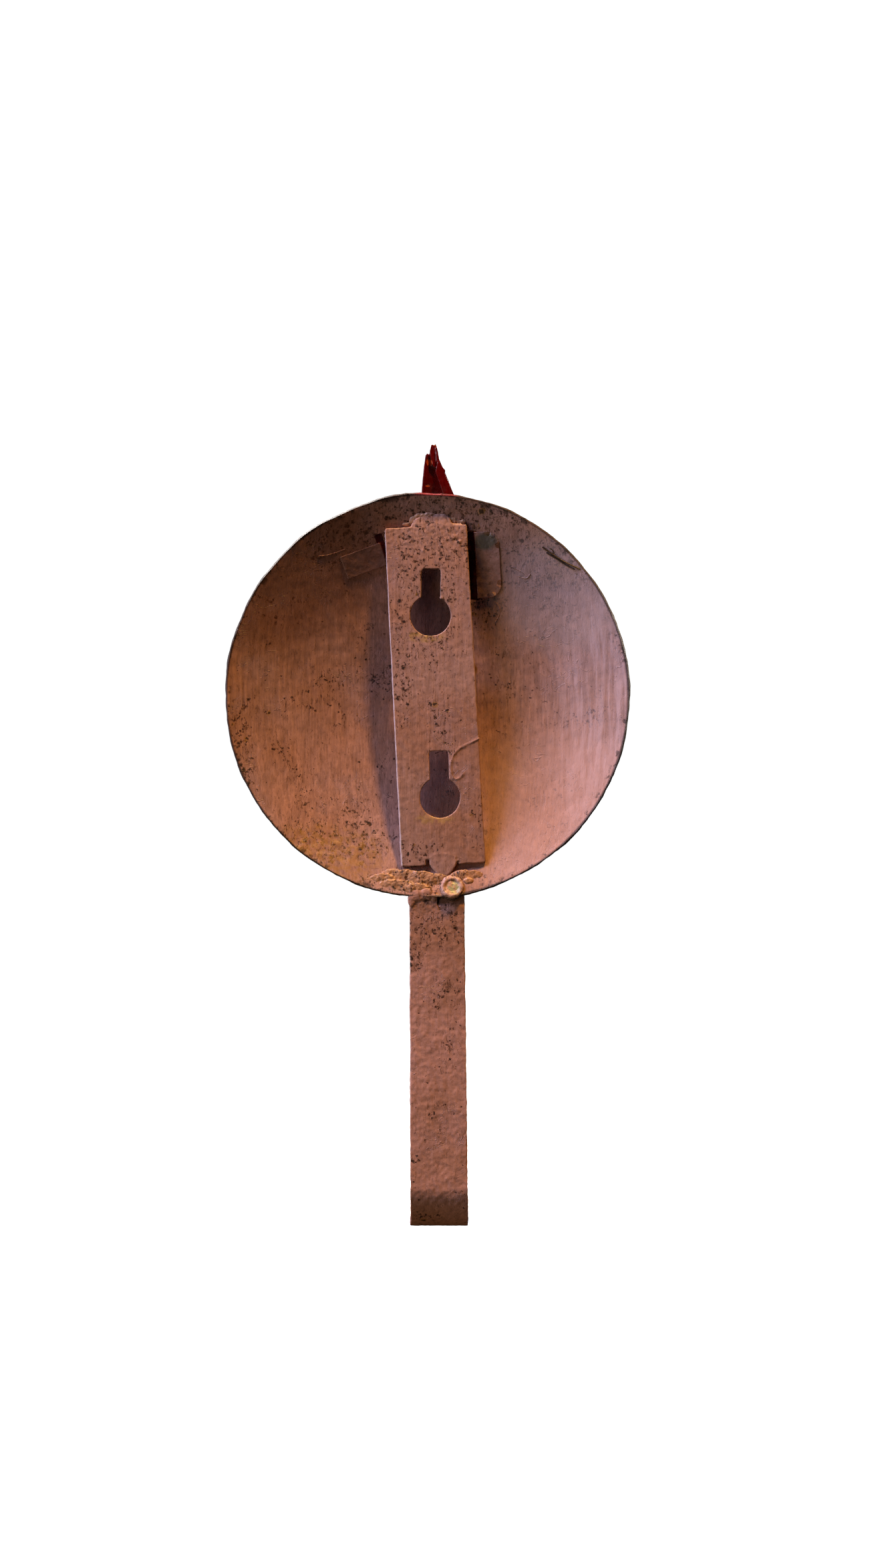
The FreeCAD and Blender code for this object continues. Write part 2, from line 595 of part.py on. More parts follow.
def upright_stop():
    wide_x, wide_z = STOP_WIDE_SLOT
    narrow_x, narrow_z = STOP_NARROW_SLOT
    half_strip = STOP_STRIP_WIDTH / 2.0
    neck_top = wide_z + STOP_WIDE_SLOT_LENGTH / 2.0 - STOP_TAB_PLAY
    tab_bottom = wide_z - STOP_WIDE_SLOT_LENGTH / 2.0 + STOP_TAB_PLAY
    fold_x = wide_x - STOP_WIDE_SLOT_WIDTH / 2.0 + STOP_TAB_PLAY
    wall_low = neck_top - STOP_STRIP_WIDTH
    wall = plate(rectangle(fold_x, wall_low, fold_x + STOP_SHEET, neck_top), -REACH, REACH)
    wide_wall = lean(wall, HANGER_LEAN, wide_x, wide_z)
    tab = [
        (fold_x + STOP_SHEET, tab_bottom, 0),
        (fold_x + STOP_SHEET, neck_top, 0),
        (fold_x - STOP_WIDE_TAB_LENGTH, neck_top, STOP_WIDE_TAB_CORNER),
        (fold_x - STOP_WIDE_TAB_LENGTH, tab_bottom, STOP_WIDE_TAB_CORNER),
    ]
    wide_tab = lean(plate(tab, -REACH, REACH), HANGER_LEAN, wide_x, wide_z)

    inner_x = narrow_x + STOP_NARROW_SLOT_WIDTH / 2.0 - STOP_TAB_PLAY
    tab_low = narrow_z - STOP_NARROW_SLOT_LENGTH / 2.0 + STOP_TAB_PLAY
    tab_high = tab_low + STOP_STRIP_WIDTH
    wall = plate(rectangle(inner_x - STOP_SHEET, tab_low, inner_x, tab_high), -REACH, REACH)
    narrow_wall = lean(wall, STOP_NARROW_TAB_LEAN, narrow_x, narrow_z)
    tab = rectangle(inner_x - STOP_SHEET, tab_low, inner_x + STOP_NARROW_TAB_LENGTH, tab_high)
    narrow_tab = lean(plate(tab, -REACH, REACH), STOP_NARROW_TAB_LEAN, narrow_x, narrow_z)

    middle_z = neck_top - half_strip
    wide_reach = STOP_WIDE_SLOT_LENGTH / 2.0 + STOP_COVER_MARGIN
    narrow_reach = STOP_NARROW_SLOT_LENGTH / 2.0 + STOP_COVER_MARGIN
    left_end = fold_x - STOP_COVER_MARGIN
    right_end = inner_x + STOP_COVER_MARGIN
    narrow_lean = math.radians(STOP_NARROW_TAB_LEAN)
    wide_lean = math.radians(HANGER_LEAN)
    band = [
        (left_end - wide_reach * math.sin(wide_lean), wide_z - wide_reach, 0),
        (right_end - narrow_reach * math.sin(narrow_lean), narrow_z - narrow_reach, 0),
        (right_end + narrow_reach * math.sin(narrow_lean), narrow_z + narrow_reach, 0),
        (left_end + wide_reach * math.sin(wide_lean), wide_z + wide_reach, 0),
    ]
    strip = dish_skin(DISC_SHEET, DISC_SHEET + STOP_SHEET, plate(band, -REACH, REACH))
    stop = strip.fuse(dish_skin(-STOP_SHEET, DISC_SHEET + STOP_SHEET, wide_wall))
    stop = stop.fuse(dish_skin(-STOP_SHEET, DISC_SHEET + STOP_SHEET, narrow_wall))
    stop = stop.fuse(dish_skin(-STOP_SHEET, 0, wide_tab))
    stop = stop.fuse(dish_skin(-STOP_SHEET, 0, narrow_tab))
    return largest(stop.fuse(stop_ear(middle_z)).removeSplitter())


def stop_ear(middle_z):
    """Ear that stands forward of the strip, along the edge of the upright blade."""
    low = arm_inner_edge(middle_z - STOP_EAR_LENGTH / 2.0)
    high = arm_inner_edge(middle_z + STOP_EAR_LENGTH / 2.0)
    edge_lean = math.degrees(math.atan2(high - low, STOP_EAR_LENGTH))
    x = arm_inner_edge(middle_z) - STOP_EAR_GAP
    half = STOP_EAR_LENGTH / 2.0
    outline = rectangle(x - STOP_SHEET, middle_z - half, x, middle_z + half)
    ear = lean(plate(outline, BLADE_FRONT, 0), edge_lean, x, middle_z)
    return ear.cut(ball(DISC_SHEET))


def stop_pin(disc):
    x, z = pin_place()
    pin = rod(PIN_RADIUS, BLADE_FRONT, 0, x, z).cut(ball(DISC_SHEET))
    wall_y = dish_y(0, x, z)
    pin = pin.fuse(rod(PIN_SHANK_RADIUS, dish_y(DISC_SHEET, x, z) - EPS, wall_y + EPS, x, z))
    clinch = rod(PIN_CLINCH_RADIUS, wall_y - EPS, wall_y + PIN_CLINCH_HEIGHT, x, z).cut(disc)
    return largest(pin.fuse(clinch).removeSplitter())


def pivot_screw():
    shank = rod(SCREW_RADIUS, SCREW_SEAT, SCREW_SEAT + SCREW_LENGTH)
    profile = [
        (0, 0, 0),
        (SCREW_HEAD_RADIUS, 0, 0),
        (SCREW_HEAD_RADIUS, SCREW_HEAD_HEIGHT, SCREW_HEAD_ROUND),
        (0, SCREW_HEAD_HEIGHT, 0),
    ]
    head = aim(turned(profile), FreeCAD.Vector(0, SCREW_SEAT, 0), FreeCAD.Vector(0, -1, 0))
    crown = SCREW_SEAT - SCREW_HEAD_HEIGHT
    half = SCREW_DRIVER_SLOT / 2.0
    slot = rectangle(-SCREW_HEAD_RADIUS - OVERSHOOT, -half, SCREW_HEAD_RADIUS + OVERSHOOT, half)
    head = head.cut(plate(slot, crown - EPS, crown + SCREW_DRIVER_SLOT))
    return head.fuse(shank).removeSplitter()


def pivot_seat():
    seat = tube(SEAT_RADIUS, SCREW_HOLE_RADIUS, SEAT_FRONT, 0)
    return seat.cut(ball(DISC_SHEET))


def pivot_bush():
    return tube(BUSH_RADIUS, SCREW_RADIUS + BUSH_BORE_CLEARANCE, WASHER_BACK, SEAT_FRONT)


def spring_washer():
    """Dished friction washer between the seat and the hub plate."""
    rise = SPRING_WASHER_ROOM - SPRING_WASHER_SHEET
    inner = ARM_BORE_RADIUS + 2 * RUNNING_CLEARANCE
    profile = [
        (inner, rise, 0),
        (SEAT_RADIUS, 0, 0),
        (SEAT_RADIUS, SPRING_WASHER_SHEET, 0),
        (inner, rise + SPRING_WASHER_SHEET, 0),
    ]
    return aim(turned(profile), FreeCAD.Vector(0, SEAT_FRONT, 0), FreeCAD.Vector(0, -1, 0))


def front_washer():
    return tube(FRONT_WASHER_RADIUS, SCREW_HOLE_RADIUS, SCREW_SEAT, WASHER_BACK)


def back_washer():
    washer = tube(SEAT_RADIUS, SCREW_HOLE_RADIUS, -REACH, APEX_WALL_SIDE + BACK_WASHER_SHEET)
    return washer.common(ball(0))


def lock_washer():
    low = APEX_WALL_SIDE + BACK_WASHER_SHEET
    washer = tube(LOCK_WASHER_RADIUS, SCREW_HOLE_RADIUS, low, low + LOCK_WASHER_SHEET)
    half = LOCK_WASHER_SPLIT / 2.0
    split = plate(rectangle(0, -half, LOCK_WASHER_RADIUS + OVERSHOOT, half), low - EPS, 0)
    return washer.cut(split)


def pivot_nut():
    low = APEX_WALL_SIDE + BACK_WASHER_SHEET + LOCK_WASHER_SHEET
    corner = NUT_ACROSS_FLATS / math.sqrt(3.0)
    hexagon = []
    for i in range(6):
        angle = math.radians(60 * i)
        hexagon.append((corner * math.cos(angle), corner * math.sin(angle), 0))
    nut = plate(hexagon, low, low + NUT_HEIGHT)
    return nut.cut(rod(SCREW_RADIUS + FACE_CLEARANCE, -REACH, 0))


def write(name, shape):
    shape.exportStep("parts/" + name + ".step")
    print(name, "solids", len(shape.Solids), "valid", shape.isValid(), "mm3", round(shape.Volume, 2))


def main():
    os.makedirs("parts", exist_ok=True)
    disc = sighting_disc()
    hanger = hanger_plate()
    strap = post_strap()
    rivet = post_rivet(disc)
    top_up = HANGER_HALF_LENGTH + TOP_TONGUE_LENGTH
    top_run = TOP_TONGUE_WIDTH / 2.0 - TOP_TONGUE_LENGTH
    bottom_up = -HANGER_HALF_LENGTH - BOTTOM_TONGUE_LENGTH
    bottom_across = BOTTOM_TONGUE_OFFSET + BOTTOM_TONGUE_TIP_SHIFT + BOTTOM_BEAD_SHIFT
    around = (disc, hanger, rivet)
    top_solder = solder_bead(TOP_TONGUE_OFFSET, top_up, top_run, TOP_BEAD_RADIUS, around)
    bottom_solder = solder_bead(bottom_across, bottom_up, 0, BOTTOM_BEAD_RADIUS, around)
    write("sighting_disc", disc)
    write("hanger_plate", hanger)
    write("hanger_top_solder", top_solder)
    write("hanger_bottom_solder", bottom_solder)
    write("post_strap", strap)
    write("post_rivet", rivet)
    write("post_solder", post_solder(disc, strap, rivet))
    write("upright_stop", upright_stop())
    write("level_stop_pin", stop_pin(disc))
    write("pivot_screw", pivot_screw())
    write("pivot_seat", pivot_seat())
    write("pivot_bush", pivot_bush())
    write("spring_washer", spring_washer())
    write("front_washer", front_washer())
    write("back_washer", back_washer())
    write("lock_washer", lock_washer())
    write("pivot_nut", pivot_nut())
    write("arm_blade", arm_blade())
    write("arm_hub_plate", arm_hub_plate())
    write("arm_rivets", arm_rivets())


main()
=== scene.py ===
import bpy
import json
import math
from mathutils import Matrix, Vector

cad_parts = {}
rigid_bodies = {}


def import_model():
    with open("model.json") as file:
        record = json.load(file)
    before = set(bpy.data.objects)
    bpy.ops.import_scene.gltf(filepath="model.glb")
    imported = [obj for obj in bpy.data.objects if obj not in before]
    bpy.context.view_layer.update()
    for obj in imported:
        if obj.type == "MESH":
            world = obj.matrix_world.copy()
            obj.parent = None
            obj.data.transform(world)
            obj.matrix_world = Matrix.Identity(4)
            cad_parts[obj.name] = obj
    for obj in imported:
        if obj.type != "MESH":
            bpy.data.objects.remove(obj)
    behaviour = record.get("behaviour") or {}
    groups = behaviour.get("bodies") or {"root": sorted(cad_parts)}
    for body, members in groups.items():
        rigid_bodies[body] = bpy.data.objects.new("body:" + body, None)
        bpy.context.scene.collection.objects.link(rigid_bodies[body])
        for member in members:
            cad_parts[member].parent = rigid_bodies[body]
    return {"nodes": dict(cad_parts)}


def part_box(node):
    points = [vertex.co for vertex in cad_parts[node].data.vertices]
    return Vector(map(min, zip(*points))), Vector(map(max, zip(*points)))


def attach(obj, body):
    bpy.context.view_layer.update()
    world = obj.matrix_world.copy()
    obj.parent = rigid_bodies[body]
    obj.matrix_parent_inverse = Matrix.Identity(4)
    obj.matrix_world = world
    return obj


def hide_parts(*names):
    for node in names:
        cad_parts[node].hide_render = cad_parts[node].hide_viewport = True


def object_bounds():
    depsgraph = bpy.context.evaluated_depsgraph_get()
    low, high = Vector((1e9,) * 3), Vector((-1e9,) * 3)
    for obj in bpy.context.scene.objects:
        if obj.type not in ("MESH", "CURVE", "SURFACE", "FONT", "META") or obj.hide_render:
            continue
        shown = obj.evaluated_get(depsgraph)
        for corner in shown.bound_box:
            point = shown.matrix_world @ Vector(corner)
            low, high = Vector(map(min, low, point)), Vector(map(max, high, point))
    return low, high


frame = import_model()
cad_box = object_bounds()

MM = 0.001

# The dish, worked out from its own box: hollow side towards +Y, apex towards -Y.
disc_low, disc_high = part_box("sighting_disc")
DISC_RADIUS = disc_high.x
DISC_SHEET = 1.0 * MM
RIM_Y = disc_high.y
DISC_DEPTH = RIM_Y - disc_low.y - DISC_SHEET
SPHERE_RADIUS = (DISC_RADIUS ** 2 + DISC_DEPTH ** 2) / (2 * DISC_DEPTH)
SPHERE_Y = RIM_Y + SPHERE_RADIUS - DISC_DEPTH
SPHERE_STEPS = 1620
DISH_STEPS = 360

# The rivet near the lower rim lies flat on the dish, which slopes 19.6 degrees there. X and Z in millimetres.
RIVET_TURN = (math.radians(90 + 19.6), 0, 0)
RIVET_PLACE = (-6.2, -47.65)
RIVET_HOLLOW = (-6.35, -47.55)
RIVET_BARE = (-6.5, -47.8)
EAR_PLACE = (-6.2, -47.7)

# The hanger plate leans a little, and its paint was brushed along it.
PLATE_LEAN = math.radians(3.0)

# The filler slopes from the rim down onto the strap.
FILLER_SLOPE = -0.0765

# The arm: a tray of thin sheet, open towards +Y. Its plain upright end is cut off, and the torn one put on.
arm_low, arm_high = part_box("arm_blade")
BLADE_FRONT = arm_low.y
ARM_SHEET = 0.8 * MM
BLADE_BACK = BLADE_FRONT + ARM_SHEET
FLANGE_BACK = arm_high.y
TRAY_TOP = 50.0
TIP_RISE = 0.5
UPPER_ARM = 45 * MM

# The size of the grain that joined lumps are cast with.
LUMP_GRAIN = 0.2 * MM

# The width of the turning marks on the screw, washers and nut.
MARK_WIDTH = 0.5 * MM


# ---------------------------------------------------------------- working by hand

def add(primitive, name, **settings):
    """A new primitive, alone in the selection."""
    bpy.ops.object.select_all(action="DESELECT")
    primitive(**settings)
    piece = bpy.context.object
    piece.name = name
    piece.data.name = name
    return piece


def edit(piece, mode):
    """Opens a piece in edit mode, in vertex, edge or face selection."""
    bpy.context.view_layer.objects.active = piece
    bpy.ops.object.mode_set(mode="EDIT")
    bpy.ops.mesh.select_mode(type=mode)


def leave():
    """Goes back from edit mode to object mode."""
    bpy.ops.object.mode_set(mode="OBJECT")


def alone(piece):
    """Makes a piece the only one selected, and the active one."""
    bpy.ops.object.select_all(action="DESELECT")
    piece.select_set(True)
    bpy.context.view_layer.objects.active = piece


def settle(piece):
    """Applies an object's place, turn and size to its mesh."""
    alone(piece)
    bpy.ops.object.transform_apply(location=True, rotation=True, scale=True)
    return piece


def work(piece, kind, **settings):
    """Adds a modifier and applies it."""
    alone(piece)
    step = piece.modifiers.new(kind.lower(), kind)
    for name, value in settings.items():
        setattr(step, name, value)
    bpy.ops.object.modifier_apply(modifier=step.name)
    return piece


def cut(piece, *cutters):
    """Cuts pieces away and removes the cutters."""
    for cutter in cutters:
        work(piece, "BOOLEAN", operation="DIFFERENCE", object=cutter, solver="EXACT")
        bpy.data.objects.remove(cutter)
    return piece


def join(pieces):
    """Makes one object of several, under the first one's name."""
    bpy.ops.object.select_all(action="DESELECT")
    for piece in pieces:
        piece.select_set(True)
    bpy.context.view_layer.objects.active = pieces[0]
    bpy.ops.object.join()
    return pieces[0]


def lumps(name, size, depth=2):
    """Soft random relief for the Displace modifier."""
    relief = bpy.data.textures.new(name, "CLOUDS")
    relief.noise_scale = size
    relief.noise_depth = depth
    return relief


def push(piece, relief, strength, direction="NORMAL", group=""):
    """Moves the surface in and out by a relief, in one direction or along its normals."""
    return work(piece, "DISPLACE", texture=relief, texture_coords="LOCAL", strength=strength,
                mid_level=0.5, direction=direction, vertex_group=group)


def weigh(piece, name, weight):
    """Vertex group with a weight worked out from each vertex's place."""
    group = piece.vertex_groups.new(name=name)
    for vertex in piece.data.vertices:
        group.add([vertex.index], weight(vertex.co), "REPLACE")
    return group.name


def smooth(piece, degrees=40):
    """Smooth shading, apart from edges sharper than an angle."""
    alone(piece)
    bpy.ops.object.shade_smooth_by_angle(angle=math.radians(degrees))
    return piece


def hollow_y(x, z):
    """Y of the dish's wall-side face."""
    return SPHERE_Y - math.sqrt(SPHERE_RADIUS ** 2 - x * x - z * z)


def at(x, y, z):
    """A place given in millimetres."""
    return Vector((x, y, z)) * MM


def likeness(node, name):
    """A copy of a node's own mesh, merged, to work the finer shape from."""
    piece = frame["nodes"][node].copy()
    piece.data = piece.data.copy()
    piece.name = piece.data.name = name
    bpy.context.scene.collection.objects.link(piece)
    alone(piece)
    bpy.ops.object.parent_clear(type="CLEAR_KEEP_TRANSFORM")
    edit(piece, "VERT")
    bpy.ops.mesh.select_all(action="SELECT")
    bpy.ops.mesh.remove_doubles(threshold=2e-6)
    leave()
    return piece


def cast(piece, grain, rounds=2, factor=0.5):
    """Makes one skin of all that was joined, then softens its edges."""
    piece.data.remesh_voxel_size = grain
    alone(piece)
    bpy.ops.object.voxel_remesh()
    if rounds:
        work(piece, "SMOOTH", factor=factor, iterations=rounds)
    return piece


def traced(name, points, y, thickness, rise=0.0):
    """Flat piece drawn corner by corner in the front view, raised a little, then pulled out along Y."""
    corners = [at(x, y, z + rise) for x, z in points]
    piece = add(bpy.ops.mesh.primitive_plane_add, name, size=0.1 * MM, location=corners[0])
    settle(piece)
    edit(piece, "VERT")
    bpy.ops.mesh.select_all(action="SELECT")
    bpy.ops.mesh.merge(type="CENTER")
    for before, after in zip(corners, corners[1:]):
        bpy.ops.mesh.extrude_region_move(TRANSFORM_OT_translate={"value": after - before})
    bpy.ops.mesh.select_all(action="SELECT")
    bpy.ops.mesh.edge_face_add()
    bpy.ops.mesh.extrude_region_move(TRANSFORM_OT_translate={"value": (0, thickness * MM, 0)})
    bpy.ops.mesh.select_all(action="SELECT")
    bpy.ops.mesh.normals_make_consistent(inside=False)
    leave()
    return piece


def strand(name, points, radius):
    """Round thread through a few places, as a mesh."""
    bpy.ops.object.select_all(action="DESELECT")
    bpy.ops.curve.primitive_nurbs_path_add(location=(0, 0, 0))
    piece = bpy.context.object
    piece.name = piece.data.name = name
    spline = piece.data.splines[0]
    spline.points.add(max(0, len(points) - len(spline.points)))
    for number, point in enumerate(spline.points):
        place = points[min(number, len(points) - 1)]
        point.co = (*place, 1.0)
    spline.order_u = 3
    spline.use_endpoint_u = True
    piece.data.bevel_depth = radius
    piece.data.bevel_resolution = 2
    piece.data.use_fill_caps = True
    piece.data.resolution_u = 6
    bpy.ops.object.convert(target="MESH")
    return settle(bpy.context.object)


def blob(name, place, radii):
    """Rounded lump with its own size along each axis."""
    piece = add(bpy.ops.mesh.primitive_ico_sphere_add, name, subdivisions=3, radius=1.0, location=place)
    piece.scale = radii
    return settle(piece)


def on_dish(x, z, lift=0.0):
    """Place on the dish's wall side, in millimetres from the middle, raised by `lift`."""
    return Vector((x * MM, hollow_y(x * MM, z * MM) + lift * MM, z * MM))


# ---------------------------------------------------------------- finishes

class Finish:
    """A painted or metal surface, built up from patterns on the piece's own coordinates."""

    def __init__(self, name):
        self.material = bpy.data.materials.new(name)
        self.material.use_nodes = True
        self.tree = self.material.node_tree
        self.shader = self.tree.nodes["Principled BSDF"]
        self.place = self.node("ShaderNodeTexCoord").outputs["Object"]

    def node(self, kind, **inputs):
        """A new node, with its inputs fed."""
        made = self.tree.nodes.new(kind)
        for name, value in inputs.items():
            self.feed(made.inputs[name.replace("_", " ")], value)
        return made

    def feed(self, socket, value):
        """Links an output to a socket, or sets the socket to a plain value."""
        if isinstance(value, bpy.types.NodeSocket):
            self.tree.links.new(value, socket)
        else:
            socket.default_value = value

    def stretched(self, x, y, z, lean=0.0):
        """The piece's coordinates in units of the given sizes, turned by a lean in the front view."""
        made = self.node("ShaderNodeMapping", Vector=self.place)
        made.inputs["Rotation"].default_value = (0, lean, 0)
        made.inputs["Scale"].default_value = (1 / x, 1 / y, 1 / z)
        return made.outputs["Vector"]

    def warped(self, size, reach):
        """The piece's coordinates, pushed about so that round patterns turn ragged."""
        noise = self.node("ShaderNodeTexNoise", Vector=self.place, Detail=3.0)
        noise.inputs["Scale"].default_value = 1 / size
        push_by = self.tree.nodes.new("ShaderNodeVectorMath")
        push_by.operation = "MULTIPLY_ADD"
        self.feed(push_by.inputs[0], noise.outputs["Color"])
        push_by.inputs[1].default_value = (reach,) * 3
        self.feed(push_by.inputs[2], self.place)
        return push_by.outputs[0]

    def noise(self, size, detail=3.0, roughness=0.55, place=None, distortion=0.0):
        """Soft random pattern of a size, or of size 1 on coordinates that are given."""
        made = self.node("ShaderNodeTexNoise", Vector=place or self.place, Detail=detail,
                         Roughness=roughness, Distortion=distortion)
        made.inputs["Scale"].default_value = 1 / size if place is None else 1.0
        return made.outputs["Fac"]

    def brushed(self, wide, long, lean=0.0, detail=3.0, roughness=0.55):
        """Random pattern drawn out along the way of the brush."""
        place = self.stretched(wide, wide, long, lean)
        return self.noise(1.0, detail=detail, roughness=roughness, place=place)

    def cells(self, size, place):
        """Distance from the middle of the nearest of many scattered cells."""
        made = self.node("ShaderNodeTexVoronoi", Vector=place)
        made.inputs["Scale"].default_value = 1 / size
        return made.outputs["Distance"]

    def ramp(self, value, low, high, start=0.0, end=1.0):
        """Goes smoothly from `start` to `end` while a pattern goes from `low` to `high`."""
        made = self.node("ShaderNodeMapRange", Value=value)
        made.interpolation_type = "SMOOTHSTEP"
        for name, number in zip(("From Min", "From Max", "To Min", "To Max"), (low, high, start, end)):
            made.inputs[name].default_value = number
        return made.outputs["Result"]

    def part(self, axis):
        """One of the piece's three coordinates."""
        made = self.node("ShaderNodeSeparateXYZ", Vector=self.place)
        return made.outputs[axis]

    def distance(self, location=(0, 0, 0), scale=(1, 1, 1)):
        """Length of the piece's coordinates, once each axis is scaled and then moved."""
        made = self.node("ShaderNodeMapping", Vector=self.place)
        made.inputs["Location"].default_value = location
        made.inputs["Scale"].default_value = scale
        length = self.tree.nodes.new("ShaderNodeVectorMath")
        length.operation = "LENGTH"
        self.feed(length.inputs[0], made.outputs["Vector"])
        return length.outputs["Value"]

    def near(self, x, z, wide, high, ragged=0.5):
        """1 in an oval patch of the front view, in millimetres, fading to 0 round it, with a ragged edge."""
        away = self.distance((-x / wide, 0, -z / high), (1 / (wide * MM), 0, 1 / (high * MM)))
        rough_edge = self.math("MULTIPLY", self.noise(3.0 * MM, detail=4.0), ragged * 2)
        return self.ramp(self.sum(away, rough_edge), 0.6 + ragged, 1.2 + ragged, 1.0, 0.0)

    def sum(self, *values):
        """All the values added up."""
        total = values[0]
        for value in values[1:]:
            total = self.math("ADD", total, value)
        return total

    def times(self, *values):
        """All the values multiplied."""
        total = values[0]
        for value in values[1:]:
            total = self.math("MULTIPLY", total, value)
        return total

    def math(self, operation, first, second):
        """One step of arithmetic on two values."""
        made = self.tree.nodes.new("ShaderNodeMath")
        made.operation = operation
        self.feed(made.inputs[0], first)
        self.feed(made.inputs[1], second)
        return made.outputs[0]

    def mix(self, amount, first, second, blend="MIX"):
        """Blends the second colour into the first by an amount."""
        made = self.tree.nodes.new("ShaderNodeMix")
        made.data_type = "RGBA"
        made.blend_type = blend
        self.feed(made.inputs[0], amount)
        self.feed(made.inputs[6], first)
        self.feed(made.inputs[7], second)
        return made.outputs[2]

    def tint(self, tone, pattern, low, high, dark, light):
        """Darkens and lightens a colour by a pattern."""
        factor = self.mix(self.ramp(pattern, low, high), (dark,) * 3 + (1,), (light,) * 3 + (1,))
        return self.mix(1.0, tone, factor, "MULTIPLY")

    def colour(self, value):
        """Sets the surface's colour."""
        self.feed(self.shader.inputs["Base Color"], value)

    def rough(self, value):
        """Sets how matt the surface is."""
        self.feed(self.shader.inputs["Roughness"], value)

    def relief(self, height, distance, strength=1.0):
        """Raises and sinks the surface by a pattern, up to a distance."""
        bump = self.node("ShaderNodeBump", Height=height, Strength=strength, Distance=distance)
        self.feed(self.shader.inputs["Normal"], bump.outputs["Normal"])

    def set(self, **numbers):
        """Sets the rest of the shader's numbers, and gives back the finished material."""
        for name, value in numbers.items():
            self.shader.inputs[name.replace("_", " ")].default_value = value
        return self.material


def shade(red, green, blue):
    """A colour given in display values, as linear light."""
    return tuple(((c + 0.055) / 1.055) ** 2.4 for c in (red, green, blue)) + (1.0,)


SOOT = shade(0.15, 0.085, 0.055)
DARK_EDGE = shade(0.16, 0.10, 0.09)
# Painted shadow.
PAINTED_SHADOW_PLUM = shade(0.30, 0.17, 0.17)
UMBER = shade(0.34, 0.195, 0.10)
# Painted shade.
PAINTED_SHADE_BROWN = shade(0.42, 0.22, 0.10)
SLATE = shade(0.44, 0.40, 0.36)
OCHRE = shade(0.66, 0.46, 0.20)
# Painted highlight.
PAINTED_HIGHLIGHT_STRAW = shade(0.80, 0.62, 0.34)
CRIMSON = shade(0.62, 0.20, 0.22)
ROSE = shade(0.71, 0.52, 0.465)
RUST = shade(0.70, 0.49, 0.40)
MAUVE = shade(0.68, 0.51, 0.49)
# Painted light.
PAINTED_LIGHT_ROSE = shade(0.82, 0.70, 0.70)
# Painted light.
PAINTED_LIGHT_BLUSH = shade(0.84, 0.64, 0.60)
# Painted sheen.
PAINTED_SHEEN = shade(0.84, 0.71, 0.74)
# Painted highlight.
PAINTED_HIGHLIGHT_PINK = shade(0.90, 0.80, 0.82)
CREAM = shade(0.83, 0.80, 0.72)


def primer(name, base, warm, cold, lean=0.0, peel=0.35, dirt=1.0, strokes=1.0, grimy=(), front=None,
           highlight_at=None):
    """Brushed-on primer: tone patches, grain along the brush, smears, specks, wrinkles and grime, with
    painted light and shade on the dish and plate.

    `front` is the colour of the dish's viewing side, and brings in the painted shade, sheen and light of its
    hollow side; the place given for the plate is where its painted highlight runs along the edge.
    """
    finish = Finish(name)
    patches = finish.noise(13 * MM, detail=5.0, roughness=0.6)
    clouds = finish.noise(36 * MM, detail=2.0)
    grain = finish.brushed(0.5 * MM, 10 * MM, lean, detail=5.0, roughness=0.7)
    streaks = finish.brushed(1.3 * MM, 16 * MM, lean, detail=4.0, roughness=0.6)
    ticks = finish.brushed(0.55 * MM, 1.7 * MM, lean, detail=4.0, roughness=0.75)
    fine = finish.noise(0.4 * MM, detail=3.0)
    soft = finish.noise(1.5 * MM, detail=4.0)
    tone = finish.mix(finish.ramp(clouds, 0.4, 0.62), base, warm)
    tone = finish.mix(finish.ramp(patches, 0.45, 0.7, 0.0, 0.7), tone, cold)
    tone = finish.tint(tone, grain, 0.32, 0.68, 1 - 0.16 * strokes, 1 + 0.12 * strokes)
    tone = finish.tint(tone, streaks, 0.35, 0.65, 1 - 0.12 * strokes, 1 + 0.10 * strokes)
    tone = finish.tint(tone, soft, 0.3, 0.7, 0.88, 1.08)

    dusty = finish.ramp(finish.noise(9 * MM, detail=4.0), 0.47, 0.70)
    for patch in grimy:
        dusty = finish.math("MAXIMUM", dusty, finish.near(*patch))
    share = finish.sum(finish.times(dusty, 0.62 * dirt), 0.34 * dirt)
    smears = finish.times(finish.ramp(ticks, 0.54, 0.63), share)
    tone = finish.mix(smears, tone, UMBER)
    tone, spots = speckled(finish, tone, dusty, dirt)

    crease = finish.math("SUBTRACT", finish.noise(5 * MM, detail=2.0, distortion=1.2), 0.5)
    crease = finish.ramp(finish.math("ABSOLUTE", crease, 0), 0.0, 0.012, 1.0, 0.0)
    wrinkled = finish.times(crease, finish.ramp(patches, 0.5, 0.62))
    tone = finish.mix(finish.times(wrinkled, 0.22), tone, UMBER)
    if front:
        # Painted shade, painted sheen and painted light on the hollow side, among its real drifts.
        tone = drifts_and_painted_light(finish, tone, streaks, soft)
        tone = glazed(finish, tone, front, patches, soft, smears, spots)
        tone = rimmed(finish, tone)
    # Painted highlight along the plate's edge and on the keyholes' lower rims.
    if highlight_at:
        tone = painted_edge_highlight(finish, tone, soft, lean, highlight_at)
    finish.colour(tone)
    finish.rough(finish.ramp(finish.sum(patches, grain), 0.7, 1.3, 0.33, 0.50))
    height = finish.sum(finish.times(grain, 0.45 * strokes), finish.times(streaks, 0.5 * strokes),
                        finish.times(fine, 0.10), finish.times(soft, peel), finish.times(wrinkled, 0.35),
                        finish.times(smears, -0.15))
    finish.relief(height, 0.16 * MM, 0.85)
    return finish.set(Specular_IOR_Level=0.5)


